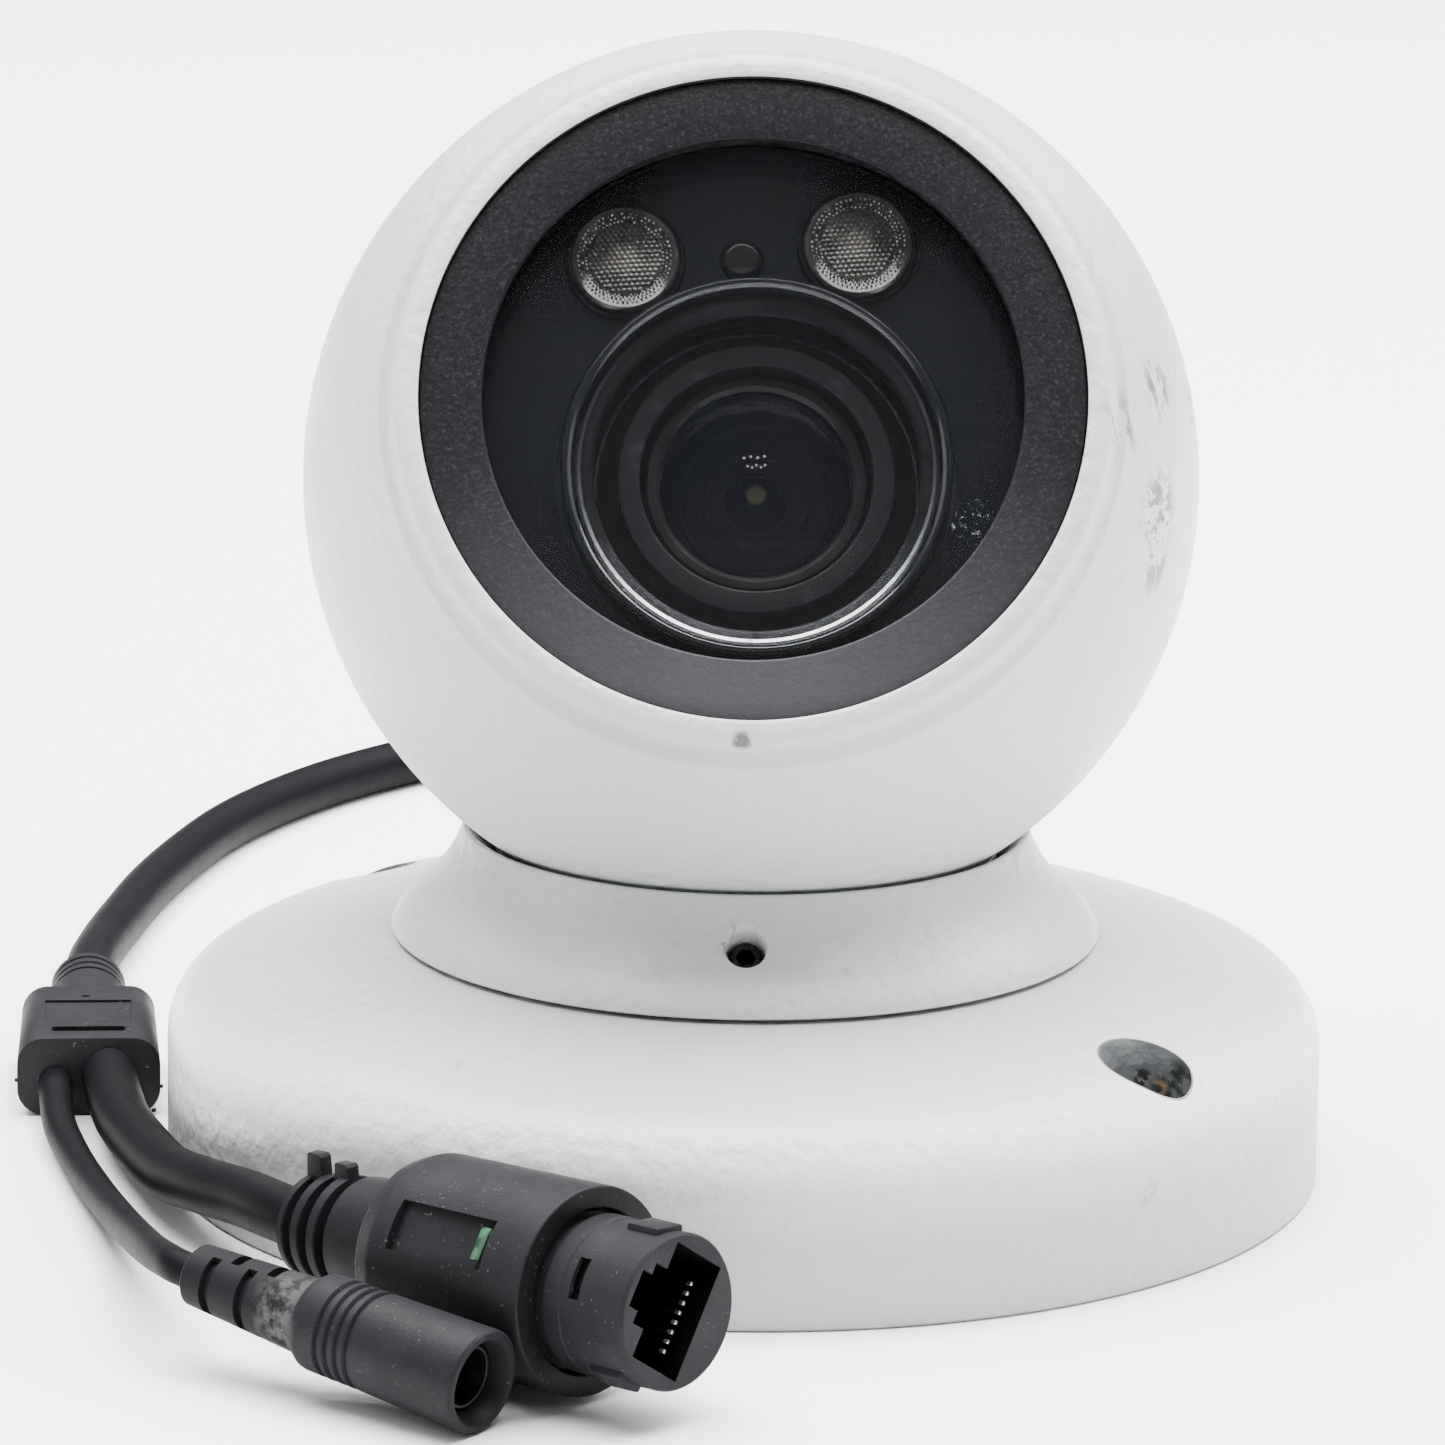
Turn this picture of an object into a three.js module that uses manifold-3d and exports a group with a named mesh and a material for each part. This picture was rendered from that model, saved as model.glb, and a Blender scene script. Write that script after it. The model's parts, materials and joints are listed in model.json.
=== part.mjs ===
// Turret security camera: round base, flared pan collar, tilting ball with its camera module, and a
// pigtail cable with a network socket and a power jack. Millimetres, +Z up, the base stands on z = 0
// and the window faces -Y.
import * as THREE from "three";
import { mergeVertices } from "three/addons/utils/BufferGeometryUtils.js";
import Module from "manifold-3d";

const wasm = await Module();
wasm.setup();

// ---------- driving dimensions ----------
const GAP = 0.3; // space kept between touching pieces
const FINE = 36; // facets round the large turned pieces
const COARSE = 16; // facets round the small ones

const BASE_R = 61;
const BASE_WALL = 3.2;
const BASE_SIDE_H = 14.6;
const PLATE_TOP = 25.3;
const PLATE_T = 2.4;
const PLATE_HOLE_R = 15.8;
const POCKET_R = 4.8;
const POCKET_FLOOR = 5;
const POCKET_CIRCLE_R = 54.6;
const POCKET_ANGLE = -41.5; // degrees; the second pocket is opposite
const SCREW_HOLE_R = 3.1;

const BALL_R = 46.8;
const BALL_INNER_R = 44;
const BALL_Z = 74.06;
const AXIS_ELEVATION = 28.2; // degrees of the optical axis above level, at rest
const ELEVATION_MIN = 15;
const ELEVATION_MAX = 90;
const MODULE_ROLL = 4.5; // degrees, turn of the camera module about the optical axis

const LOCK_SCREW_ELEVATION = 42; // degrees of the screw's axis above level
const LOCK_SCREW_MOUTH = [0, -32.2, 32];
const STEM_R = 5;
const STEM_BORE_R = 3.4;
const STEM_BOTTOM = 19;
const SHUTTER_R = [42.5, 43.5];
const SADDLE_R = [40.9, 42.1];
const STRIP_HALF_W = 11.5;
const SLOT_HALF_W = 5.5;

const BEZEL_R = [27.5, 33.6];
const BEZEL_TOP = 30.5;
const WINDOW_R = 30.6;
const WINDOW_H = [26.8, 29.0];

const LENS_Y = -5.95;
const LED_X = 12;
const LED_Y = 17.2;

const CABLE_R = 2.85;
const NETWORK_LEAD_R = 3;
const POWER_LEAD_R = 1.8;
const CABLE_EXIT_ANGLE = 80.7; // degrees, where the cable leaves the base wall
const CABLE_EXIT_Z = 6.4;

// ---------- helpers ----------
const rad = THREE.MathUtils.degToRad;
const polar = (r, degrees, z = 0) =>
  new THREE.Vector3(r * Math.cos(rad(degrees)), r * Math.sin(rad(degrees)), z);

function material(color, roughness, metalness = 0, opacity = 1) {
  return new THREE.MeshStandardMaterial({ color, roughness, metalness, opacity, transparent: opacity < 1 });
}

const LOOK = {
  paint: material("#dcdedb", 0.45),
  bezel: material("#3a3a3e", 0.7),
  glossBlack: material("#131418", 0.1),
  window: material("#20242a", 0.02, 0, 0.3),
  clear: material("#e8eaec", 0.05, 0, 0.4),
  lensGlass: material("#10141c", 0.02, 0, 0.5),
  rubber: material("#1d1d1f", 0.85),
  cable: material("#36373b", 0.6),
  plastic: material("#3a3b40", 0.65),
  nylon: material("#e6e3da", 0.6),
  board: material("#1d4a2c", 0.5),
  steel: material("#8b8d90", 0.35, 1),
  aluminium: material("#9a9c9f", 0.45, 1),
  anodised: material("#17181b", 0.5, 0.3),
  gold: material("#b8924a", 0.3, 1),
  chip: material("#1a1a1c", 0.5),
  phosphor: material("#c9b99a", 0.6),
  filter: material("#6a2c3c", 0.05, 0, 0.5),
};

// Removes everything but position, merges shared corners and turns the faces outward.
function closed(geometry) {
  const g = geometry.clone();
  g.deleteAttribute("normal");
  g.deleteAttribute("uv");
  const merged = mergeVertices(g, 1e-4);
  const from = merged.index.array;
  const kept = [];
  for (let i = 0; i < from.length; i += 3) {
    const [a, b, c] = [from[i], from[i + 1], from[i + 2]];
    if (a !== b && b !== c && c !== a) kept.push(a, b, c);
  }
  const p = merged.attributes.position;
  const corner = (i) => new THREE.Vector3().fromBufferAttribute(p, i);
  let volume = 0;
  for (let i = 0; i < kept.length; i += 3) {
    volume += corner(kept[i]).dot(corner(kept[i + 1]).cross(corner(kept[i + 2])));
  }
  if (volume < 0) {
    for (let i = 0; i < kept.length; i += 3) {
      [kept[i], kept[i + 1]] = [kept[i + 1], kept[i]];
    }
  }
  merged.setIndex(kept);
  return merged;
}

function toSolid(geometry) {
  const g = closed(geometry);
  const vertProperties = new Float32Array(g.attributes.position.array);
  const triVerts = new Uint32Array(g.index.array);
  return new wasm.Manifold(new wasm.Mesh({ numProp: 3, vertProperties, triVerts }));
}

function toGeometry(solid) {
  const mesh = solid.getMesh();
  const g = new THREE.BufferGeometry();
  g.setAttribute("position", new THREE.BufferAttribute(new Float32Array(mesh.vertProperties), 3));
  g.setIndex(new THREE.BufferAttribute(new Uint32Array(mesh.triVerts), 1));
  return g;
}

const cut = (body, ...tools) => toGeometry(tools.reduce((s, t) => s.subtract(toSolid(t)), toSolid(body)));
const join = (body, ...others) => toGeometry(others.reduce((s, t) => s.add(toSolid(t)), toSolid(body)));
const common = (a, b) => toGeometry(toSolid(a).intersect(toSolid(b)));

// A profile of [radius, height] points turned about Z. The outline closes by itself.
function turned(points, segments = COARSE) {
  const ring = [...points, points[0]].map(([r, z]) => new THREE.Vector2(r, z));
  return closed(new THREE.LatheGeometry(ring, segments).rotateX(Math.PI / 2));
}

const disc = (r, z0, z1, segments = COARSE) => turned([[0, z0], [r, z0], [r, z1], [0, z1]], segments);
const ringBand = (r0, r1, z0, z1, segments = COARSE) =>
  turned([[r0, z0], [r1, z0], [r1, z1], [r0, z1]], segments);

function block(w, d, z0, z1, x = 0, y = 0) {
  return new THREE.BoxGeometry(w, d, z1 - z0).translate(x, y, (z0 + z1) / 2);
}

// Points of a circular arc in the [radius, height] plane; angles in degrees from the height axis.
function arc(r, from, to, steps) {
  return Array.from({ length: steps + 1 }, (_, i) => {
    const a = rad(from + ((to - from) * i) / steps);
    return [r * Math.sin(a), r * Math.cos(a)];
  });
}

function roundedRect(w, h, r) {
  const s = new THREE.Shape();
  s.absarc(w / 2 - r, h / 2 - r, r, 0, Math.PI / 2);
  s.absarc(-w / 2 + r, h / 2 - r, r, Math.PI / 2, Math.PI);
  s.absarc(-w / 2 + r, -h / 2 + r, r, Math.PI, 1.5 * Math.PI);
  s.absarc(w / 2 - r, -h / 2 + r, r, 1.5 * Math.PI, 2 * Math.PI);
  return s;
}

function prism(shape, depth, curveSegments = 3) {
  return new THREE.ExtrudeGeometry(shape, { depth, bevelEnabled: false, curveSegments });
}

function tube(points, radius, sides, steps) {
  const section = Array.from({ length: sides }, (_, i) => {
    const a = (2 * Math.PI * i) / sides;
    return new THREE.Vector2(radius * Math.cos(a), radius * Math.sin(a));
  });
  const path = new THREE.CatmullRomCurve3(points.map((p) => new THREE.Vector3(...p)));
  const settings = { steps, extrudePath: path, bevelEnabled: false };
  return new THREE.ExtrudeGeometry(new THREE.Shape(section), settings);
}

const root = new THREE.Group();

function add(name, geometry, look, parent = root) {
  const mesh = new THREE.Mesh(closed(geometry), look);
  mesh.name = name;
  parent.add(mesh);
  return mesh;
}

// ---------- base ----------
function baseHousing() {
  const edge = [[BASE_R, BASE_SIDE_H], [60.1, 17.8], [57.4, 20.5], [53, 22]];
  const dome = [[46, 23.8], [38.4, PLATE_TOP]];
  const outside = [[BASE_R, 0], ...edge, ...dome];
  const inner = BASE_R - BASE_WALL;
  const under = PLATE_TOP - PLATE_T;
  const shell = turned([
    ...outside, [PLATE_HOLE_R, PLATE_TOP], [PLATE_HOLE_R, under], [30, under], [51, 19.2], [56.4, 15.4],
    [inner, 12], [inner, 0],
  ], 40);
  const whole = turned([[0, 0], ...outside, [0, PLATE_TOP]], 40);
  const places = [POCKET_ANGLE, POCKET_ANGLE + 180].map((a) => polar(POCKET_CIRCLE_R, a));
  const posts = places.map((p) => common(disc(8.4, 0, 26, 20).translate(p.x, p.y, 0), whole));
  const pockets = places.map((p) => disc(POCKET_R, POCKET_FLOOR, 30, 20).translate(p.x, p.y, 0));
  const holes = places.map((p) => disc(SCREW_HOLE_R, -1, POCKET_FLOOR + 1, 20).translate(p.x, p.y, 0));
  const cableHole = disc(4.8, BASE_R - 8, BASE_R + 4, 20).rotateY(Math.PI / 2).rotateZ(rad(CABLE_EXIT_ANGLE));
  return cut(join(shell, ...posts), ...pockets, ...holes, cableHole.translate(0, 0, CABLE_EXIT_Z));
}
add("base_housing", baseHousing(), LOOK.paint);

// Rubber bush in the wall, with a short tapered boot outside. Its profile runs outward from the base's axis.
const bush = turned([
  [3.2, 55.6], [5.9, 55.6], [5.9, 57.2], [4.5, 57.2], [4.5, 61.4], [5.9, 61.4], [5.9, 63], [5.2, 64],
  [3.9, 75], [3.2, 75],
], 16).rotateY(Math.PI / 2).rotateZ(rad(CABLE_EXIT_ANGLE)).translate(0, 0, CABLE_EXIT_Z);
add("cable_bush", bush, LOOK.rubber);
add("pan_washer", ringBand(16, 20.5, 21.9, 22.6), LOOK.nylon);

// ---------- cables on the table ----------
const exitPoint = (r, z) => polar(r, CABLE_EXIT_ANGLE, z).toArray();
const INNER_ROUTE = [
  [0, 0, 33], [0, 0, 22], [0.3, 2, 13.5], [2, 14, 7], [5, 32, CABLE_EXIT_Z], exitPoint(56.4, CABLE_EXIT_Z),
];
const MAIN_ROUTE = [
  exitPoint(56.8, CABLE_EXIT_Z), exitPoint(66, CABLE_EXIT_Z), exitPoint(76, 6.1), [15.2, 86.5, 4.4],
  [19.1, 99.7, 3.1], [24.7, 115.8, 2.9], [28.8, 132, 2.9], [29.8, 149, 2.9], [25.9, 164.9, 2.9],
  [16.8, 176.6, 2.9], [3.3, 183.2, 2.9], [-11.7, 182.7, 2.9], [-27.1, 173.2, 2.9], [-41.4, 159, 2.9],
  [-50, 148.5, 2.9], [-57, 136.8, 2.9], [-62.1, 125.1, 2.9], [-66.2, 111, 2.9], [-69.2, 97.4, 2.9],
  [-71.2, 84, 3], [-72.6, 71.5, 3.4], [-73.2, 60, 4.1], [-73, 49.9, 4.4], [-72.8, 46, 4.4],
];
const SPLITTER_TAIL = new THREE.Vector3(-72.9, 48.6, 4.4);
const SPLITTER_FACE = new THREE.Vector3(-70.4, 12.9, 4.4);
const NETWORK_ROUTE = [
  [-68.2, 12.5, 4.8], [-66.9, 3.1, 4.7], [-65.3, -5.6, 4.7], [-62.9, -14.4, 4.9], [-59.4, -26, 5.5],
  [-55.5, -35, 6.9], [-50.6, -44.4, 8.4], [-46.9, -51.8, 9.3], [-43.9, -56.2, 9.6], [-40.4, -59.6, 9.8],
];
const POWER_ROUTE = [
  [-74, 12.5, 3.9], [-73.6, 8, 3.5], [-72.6, -0.2, 2.8], [-71, -7.4, 2.4], [-69.3, -14.6, 2.4],
  [-67.2, -23.4, 2.8], [-65, -33.1, 3.7], [-62.7, -43.5, 5], [-60.6, -53.8, 6.7], [-58.8, -62.3, 8.2],
  [-57.1, -68.3, 9.2], [-55.6, -71.9, 9.6], [-53.9, -73.32, 9.4], [-51.1, -75.4, 9.02],
];
add("inner_cable", tube(INNER_ROUTE, CABLE_R, 8, 10), LOOK.cable);
add("main_cable", tube(MAIN_ROUTE, CABLE_R, 8, 34), LOOK.cable);
add("network_lead", tube(NETWORK_ROUTE, NETWORK_LEAD_R, 8, 12), LOOK.cable);
add("power_lead", tube(POWER_ROUTE, POWER_LEAD_R, 8, 16), LOOK.cable);

// A group whose local +Z runs from one point to another and whose local +Y stays as upright as it can.
function along(from, to) {
  const z = to.clone().sub(from).normalize();
  const x = new THREE.Vector3(0, 0, 1).cross(z).normalize();
  const y = z.clone().cross(x);
  const group = new THREE.Group();
  group.quaternion.setFromRotationMatrix(new THREE.Matrix4().makeBasis(x, y, z));
  group.position.copy(from);
  root.add(group);
  return group;
}

// Y-shaped moulding where the cable divides. Local z = 0 is the tail, where the ribbed neck starts.
function splitter() {
  const length = SPLITTER_FACE.distanceTo(SPLITTER_TAIL);
  const neckEnd = 14.8;
  const neck = turned([
    [3.2, GAP], [4.15, GAP], [4.15, 2.5], [3.85, 2.5], [3.85, 3], [4.15, 3], [4.15, 6.9], [3.85, 6.9],
    [3.85, 7.4], [4.15, 7.4], [4.15, neckEnd + 2], [0, neckEnd + 2], [0, 6.2], [3.2, 6.2],
  ], 16);
  const body = prism(roundedRect(15.2, 8.6, 2.8), length - neckEnd).translate(0, 0, neckEnd);
  const label = block(9.4, 0.8, neckEnd + 5.8, neckEnd + 14, 0, 4.4);
  const groove = block(7.6, 1.6, neckEnd + 16.4, neckEnd + 18, 0, 4.4);
  return cut(join(neck, body), label, groove);
}
const splitterGroup = along(SPLITTER_TAIL, SPLITTER_FACE);
add("cable_splitter", splitter(), LOOK.plastic, splitterGroup);

// ---------- network socket ----------
const NETWORK_TAIL = new THREE.Vector3(-43.3, -56.82, 9.62);
const NETWORK_FACE = new THREE.Vector3(-6.33, -91.87, 11.84);
const NETWORK_L = NETWORK_FACE.distanceTo(NETWORK_TAIL);
const NETWORK_BODY_R = 10.5;
const NETWORK_NOSE_R = 7.8;
const NETWORK_NOSE_L = 11.6;
const PORT_DEPTH = 12.5;
const PORT_ROLL = 56.5; // degrees, turn of the port about the socket's axis
const LABEL_ANGLE = 57.3; // degrees, turn of the recess about the socket's axis

const networkGroup = along(NETWORK_TAIL, NETWORK_FACE);

function networkBody() {
  const end = NETWORK_L - NETWORK_NOSE_L;
  const body = turned([
    [0, 13.8], [6.9, 13.8], [7.3, 14.2], [9.2, 15.8], [10.15, 18.2], [NETWORK_BODY_R, end], [8.3, end],
    [8.3, end - 2.4], [0, end - 2.4],
  ]);
  const recess = block(5.2, 2, NETWORK_L - 30.3, NETWORK_L - 17.2, 0, 10.2).rotateZ(rad(LABEL_ANGLE));
  return cut(body, recess);
}
add("network_socket_body", networkBody(), LOOK.plastic, networkGroup);
const linkLight = block(3.4, 0.7, NETWORK_L - 18.8, NETWORK_L - 17.6, 0, 9.9).rotateZ(rad(LABEL_ANGLE));
add("link_light_window", linkLight, LOOK.board, networkGroup);

// Stepped opening of the port: wide contact side, then two narrower steps for the latch.
function portShape() {
  const half = [6, 3.15, 1.9];
  const level = [-3.3, 3.7, 5.4, 6.8];
  const right = [
    [half[0], level[0]], [half[0], level[1]], [half[1], level[1]], [half[1], level[2]], [half[2], level[2]],
    [half[2], level[3]],
  ];
  const left = right.map(([x, y]) => [-x, y]).reverse();
  return new THREE.Shape([...right, ...left].map(([x, y]) => new THREE.Vector2(x, y)));
}

function networkNose() {
  const start = NETWORK_L - NETWORK_NOSE_L - 2.1;
  const nose = turned([
    [0, start], [7.95, start], [7.95, start + 1.2], [7.3, start + 1.2], [7.3, start + 3],
    [NETWORK_NOSE_R, start + 3], [NETWORK_NOSE_R, NETWORK_L - 0.4], [NETWORK_NOSE_R - 0.4, NETWORK_L],
    [0, NETWORK_L],
  ]);
  const lugs = [[-4, 1.3], [143, 2], [250, 2]].map(([turn, back]) =>
    block(3.6, 1.6, NETWORK_L - back - 4.2, NETWORK_L - back, 0, 7.8).rotateZ(rad(turn)));
  const port = prism(portShape(), PORT_DEPTH + 2);
  port.translate(0, 0, NETWORK_L - PORT_DEPTH).rotateZ(rad(PORT_ROLL));
  const slot = block(4.2, 2, NETWORK_L - 7.4, NETWORK_L - 6, 0, 7.9).rotateZ(rad(61));
  return cut(join(nose, ...lugs), port, slot);
}
add("network_socket_nose", networkNose(), LOOK.plastic, networkGroup);

// Eight contact wires on one carrier bar at the back of the port.
function networkContacts() {
  const back = NETWORK_L - PORT_DEPTH + GAP;
  const bar = block(10.4, 1.4, back, back + 2.2, 0, -2.3);
  const wires = Array.from({ length: 8 }, (_, i) =>
    block(0.45, 0.5, back + 1, back + 10.7, (i - 3.5) * 1.02, -2.3));
  return join(bar, ...wires).rotateZ(rad(PORT_ROLL));
}
add("network_contacts", networkContacts(), LOOK.gold, networkGroup);

function networkRelief() {
  const bore = NETWORK_LEAD_R + 0.45;
  const ribs = [
    [5.2, GAP], [5.3, 1.2], [4.3, 1.2], [4.3, 2.5], [5.5, 2.5], [5.6, 3.7], [4.4, 3.7], [4.4, 5.1],
    [5.8, 5.1], [5.9, 6.4], [4.6, 6.4], [4.6, 7.8],
  ];
  const core = turned([[bore, GAP], ...ribs, [6.1, 7.8], [6.6, 13.5], [0, 13.5], [0, 5.4], [bore, 5.4]], 14);
  const tabs = [block(1.6, 3.8, 0.5, 2.4, 0, 5.9), block(1.6, 3.2, 4.4, 6.3, 0, 5.8)];
  return join(core, ...tabs);
}
add("network_strain_relief", networkRelief(), LOOK.rubber, networkGroup);

// ---------- power jack ----------
const POWER_TAIL = new THREE.Vector3(-53.87, -73.34, 9.4);
const POWER_FACE = new THREE.Vector3(-24.95, -94.74, 5.43);
const POWER_L = POWER_FACE.distanceTo(POWER_TAIL);
const JACK_BORE_L = 10.5;

const powerGroup = along(POWER_TAIL, POWER_FACE);

function powerBody() {
  const start = 15.4;
  const groove = [[4.97, 18.8], [4.75, 19], [4.75, 22.9], [5.05, 23.1]];
  const back = POWER_L - JACK_BORE_L;
  return turned([
    [0, start], [4.3, start], [4.92, start + 0.8], ...groove, [5.3, POWER_L - 0.5], [4.8, POWER_L],
    [4.3, POWER_L], [3.55, POWER_L - 2], [3.55, back], [0, back],
  ], 20);
}
add("power_jack_body", powerBody(), LOOK.plastic, powerGroup);
const sleeve = ringBand(2.85, 3.2, POWER_L - JACK_BORE_L + GAP, POWER_L - 1.9, 20);
add("power_jack_sleeve", sleeve, LOOK.steel, powerGroup);
const pinStart = POWER_L - JACK_BORE_L + GAP;
const pinEnd = POWER_L - 3.6;
const pinShape = [[0, pinStart], [1.05, pinStart], [1.05, pinEnd - 0.7], [0.5, pinEnd], [0, pinEnd]];
add("power_jack_pin", turned(pinShape, 14), LOOK.steel, powerGroup);

function powerBoot() {
  const bore = POWER_LEAD_R + 0.45;
  const core = turned([
    [bore, GAP], [3.15, GAP], [3.9, 15.1], [0, 15.1], [0, 4.6], [bore, 4.6],
  ], 14);
  const slots = [0, 1, 2, 3].flatMap((i) => [0, 180].map((side) =>
    block(7, 2.4, 3 + 2.3 * i, 4.2 + 2.3 * i, 0, 3.8 + 0.12 * i).rotateZ(rad(side + 85 - (i % 2) * 90))));
  return cut(core, ...slots);
}
add("power_jack_boot", powerBoot(), LOOK.rubber, powerGroup);

// ---------- pan neck ----------
// Moves a piece made about Z to the lock screw's axis, which is square to the collar's flared front.
function onScrewAxis(geometry) {
  return geometry.rotateX(rad(90 - LOCK_SCREW_ELEVATION)).translate(...LOCK_SCREW_MOUTH);
}

function panCollar() {
  const flare = [[37.4, 25.8], [36.9, 27], [33.4, 30.6], [31.2, 33.4], [29.9, 36.7]];
  const body = turned([
    ...flare, [29.3, 36.9], [28.3, 36.2], [27, 35], [26.8, 34.6], [26.8, 30.4], [20.5, 30.4], [14, 27.6],
    [5.4, 26.2], [5.4, 23.6], [11.6, 23.6], [11.6, 20.4], [15.4, 20.4], [15.4, 25.5], [28, 28.2],
    [33.6, 26.6], [35.2, 25.8],
  ], FINE);
  return cut(body, onScrewAxis(disc(2.1, -11, 8)));
}
add("pan_collar", panCollar(), LOOK.paint);

// Set screw with a hexagon socket in its outer end. Its tip bears on the base plate and stops the pan.
const screwSocket = disc(0.95, -4, 0, 6);
const setScrew = cut(turned([[0, -8.4], [1, -8.4], [1.7, -7.7], [1.7, -2.2], [0, -2.2]]), screwSocket);
add("lock_screw", onScrewAxis(setScrew), LOOK.steel);

const seatTop = (r) => BALL_Z - Math.sqrt((BALL_R + GAP + 0.1) ** 2 - r ** 2);
const seatProfile = [
  [21.2, 30.7], [26.5, 30.7], [26.5, seatTop(26.5)], [23.8, seatTop(23.8)], [21.2, seatTop(21.2)],
];
add("seat_ring", turned(seatProfile, FINE), LOOK.nylon);

const stemProfile = [
  [STEM_BORE_R, STEM_BOTTOM], [STEM_R, STEM_BOTTOM], [STEM_R, 34.7], [7.3, 34.7], [7, 35.9],
  [STEM_BORE_R, 35.9],
];
add("hollow_stem", turned(stemProfile), LOOK.aluminium);
add("spring_washer", turned([[5.4, 21.9], [5.4, 22.4], [9.4, 23.3], [9.4, 22.8]]), LOOK.steel);
add("stem_nut", cut(disc(8.2, 19.4, 21.6, 6), disc(5.3, 18, 23)), LOOK.steel);
add("retaining_ring", ringBand(15.7, 20.3, 20.3, 21.5), LOOK.steel);

// ---------- curved strips that close the ball's slot ----------
// A strip of a spherical shell about the ball's centre, running front to back. Angles in degrees from
// straight down, positive toward the front.
function strip([r0, r1], halfWidth, from, to, segments = FINE) {
  const crown = (r, side) => [Math.sqrt(r ** 2 - halfWidth ** 2), side * halfWidth];
  const band = turned([crown(r0, -1), crown(r1, -1), [r1, 0], crown(r1, 1), crown(r0, 1), [r0, 0]], segments);
  const reach = 60;
  const steps = Math.max(2, Math.ceil((to - from) / 20));
  const wedge = new THREE.Shape();
  wedge.moveTo(0, 0);
  for (let i = 0; i <= steps; i++) {
    const a = rad(from + ((to - from) * i) / steps);
    wedge.lineTo(-reach * Math.cos(a), -reach * Math.sin(a));
  }
  const sector = prism(wedge, 2 * halfWidth + 4).translate(0, 0, -halfWidth - 2);
  // the band turns about Z here; laid over, Z becomes X, the wedge's -x becomes down and its -y the front
  return common(band, sector).applyMatrix4(new THREE.Matrix4().makeBasis(
    new THREE.Vector3(0, 0, 1), new THREE.Vector3(0, 1, 0), new THREE.Vector3(-1, 0, 0)));
}

// Cutter with round ends for a slot along a strip.
function slotCutter(from, to) {
  const ends = [from, to].map((a) => disc(SLOT_HALF_W, 30, 60, 20).rotateX(Math.PI / 2 + rad(90 - a)));
  return join(strip([36, 52], SLOT_HALF_W, from, to), ...ends);
}

const stemHalfAngle = THREE.MathUtils.radToDeg(Math.asin((STEM_R + 0.5) / BALL_R));
const restPolar = 90 + AXIS_ELEVATION; // the stem's angle from the optical axis, at rest
const slotFront = restPolar - (90 + ELEVATION_MIN);
const slotBack = restPolar - (90 + ELEVATION_MAX);
const travel = ELEVATION_MAX - ELEVATION_MIN;
const shutterRest = (slotFront + slotBack) / 4; // the shutter turns half as far as the ball
const shutterSlot = travel / 4;
const shutterReach = travel / 2 + stemHalfAngle + 2 + travel / 4;

const neckCentre = new THREE.Group();
neckCentre.position.z = BALL_Z;
root.add(neckCentre);

const saddleReach = shutterSlot + travel / 4 + stemHalfAngle + 1.5;
const saddleHole = disc(STEM_R + GAP, 30, 50).rotateX(Math.PI);
const saddle = cut(strip(SADDLE_R, STRIP_HALF_W, -saddleReach, saddleReach), saddleHole);
add("saddle", saddle, LOOK.nylon, neckCentre);
const shutterStrip = strip(SHUTTER_R, STRIP_HALF_W, shutterRest - shutterReach, shutterRest + shutterReach);
const shutterCut = slotCutter(shutterRest - shutterSlot, shutterRest + shutterSlot);
add("slot_shutter", cut(shutterStrip, shutterCut), LOOK.paint, neckCentre);

// ---------- ball ----------
// Local +Z is the optical axis, local +X is level to the right, local +Y is up in the picture.
const ball = new THREE.Group();
ball.position.z = BALL_Z;
ball.rotation.x = rad(90 - AXIS_ELEVATION);
root.add(ball);

const SEAM = -3;
const LIP_R = [45.15, 45.45];
const seamAngle = (r, h) => THREE.MathUtils.radToDeg(Math.acos(h / r));

function frontShell() {
  const rim = [[36.9, 30.0], [35.8, 31.3], [33.9, 31.3]];
  return turned([
    [LIP_R[1], SEAM], ...arc(BALL_R, seamAngle(BALL_R, SEAM), 54.5, 4), ...rim, [33.9, 28.2], [31, 28.2],
    [31, 25.4], [28.8, 25.4], [28.8, 24.2],
    ...arc(BALL_INNER_R, seamAngle(BALL_INNER_R, 24.2), seamAngle(BALL_INNER_R, 1.6), 3), [LIP_R[1], 1.6],
  ], FINE);
}
add("ball_front_shell", frontShell(), LOOK.paint, ball);

function rearShell() {
  const shell = turned([
    [LIP_R[0], 0], [BALL_INNER_R, 0], ...arc(BALL_INNER_R, 96, 180, 7),
    ...arc(BALL_R, 180, seamAngle(BALL_R, SEAM - GAP), 8), [LIP_R[0], SEAM - GAP],
  ], FINE);
  // the cutter is made in upright axes, then turned into the ball's
  const slot = slotCutter(slotBack, slotFront).rotateX(-ball.rotation.x);
  return cut(shell, slot);
}
add("ball_rear_shell", rearShell(), LOOK.paint, ball);
add("shell_seal", ringBand(44.1, 45.1, GAP, 1.3, FINE), LOOK.rubber, ball);

const bezelProfile = [
  [BEZEL_R[1], 28.5], [BEZEL_R[1], BEZEL_TOP], [BEZEL_R[0], BEZEL_TOP], [BEZEL_R[0], WINDOW_H[1] + GAP],
  [31.2, WINDOW_H[1] + GAP], [31.2, 28.5],
];
add("window_bezel", turned(bezelProfile, FINE), LOOK.bezel, ball);
add("window_glass", disc(WINDOW_R, WINDOW_H[0], WINDOW_H[1], FINE), LOOK.window, ball);
add("window_seal", ringBand(29.2, WINDOW_R, 25.7, 26.5, FINE), LOOK.rubber, ball);

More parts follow.
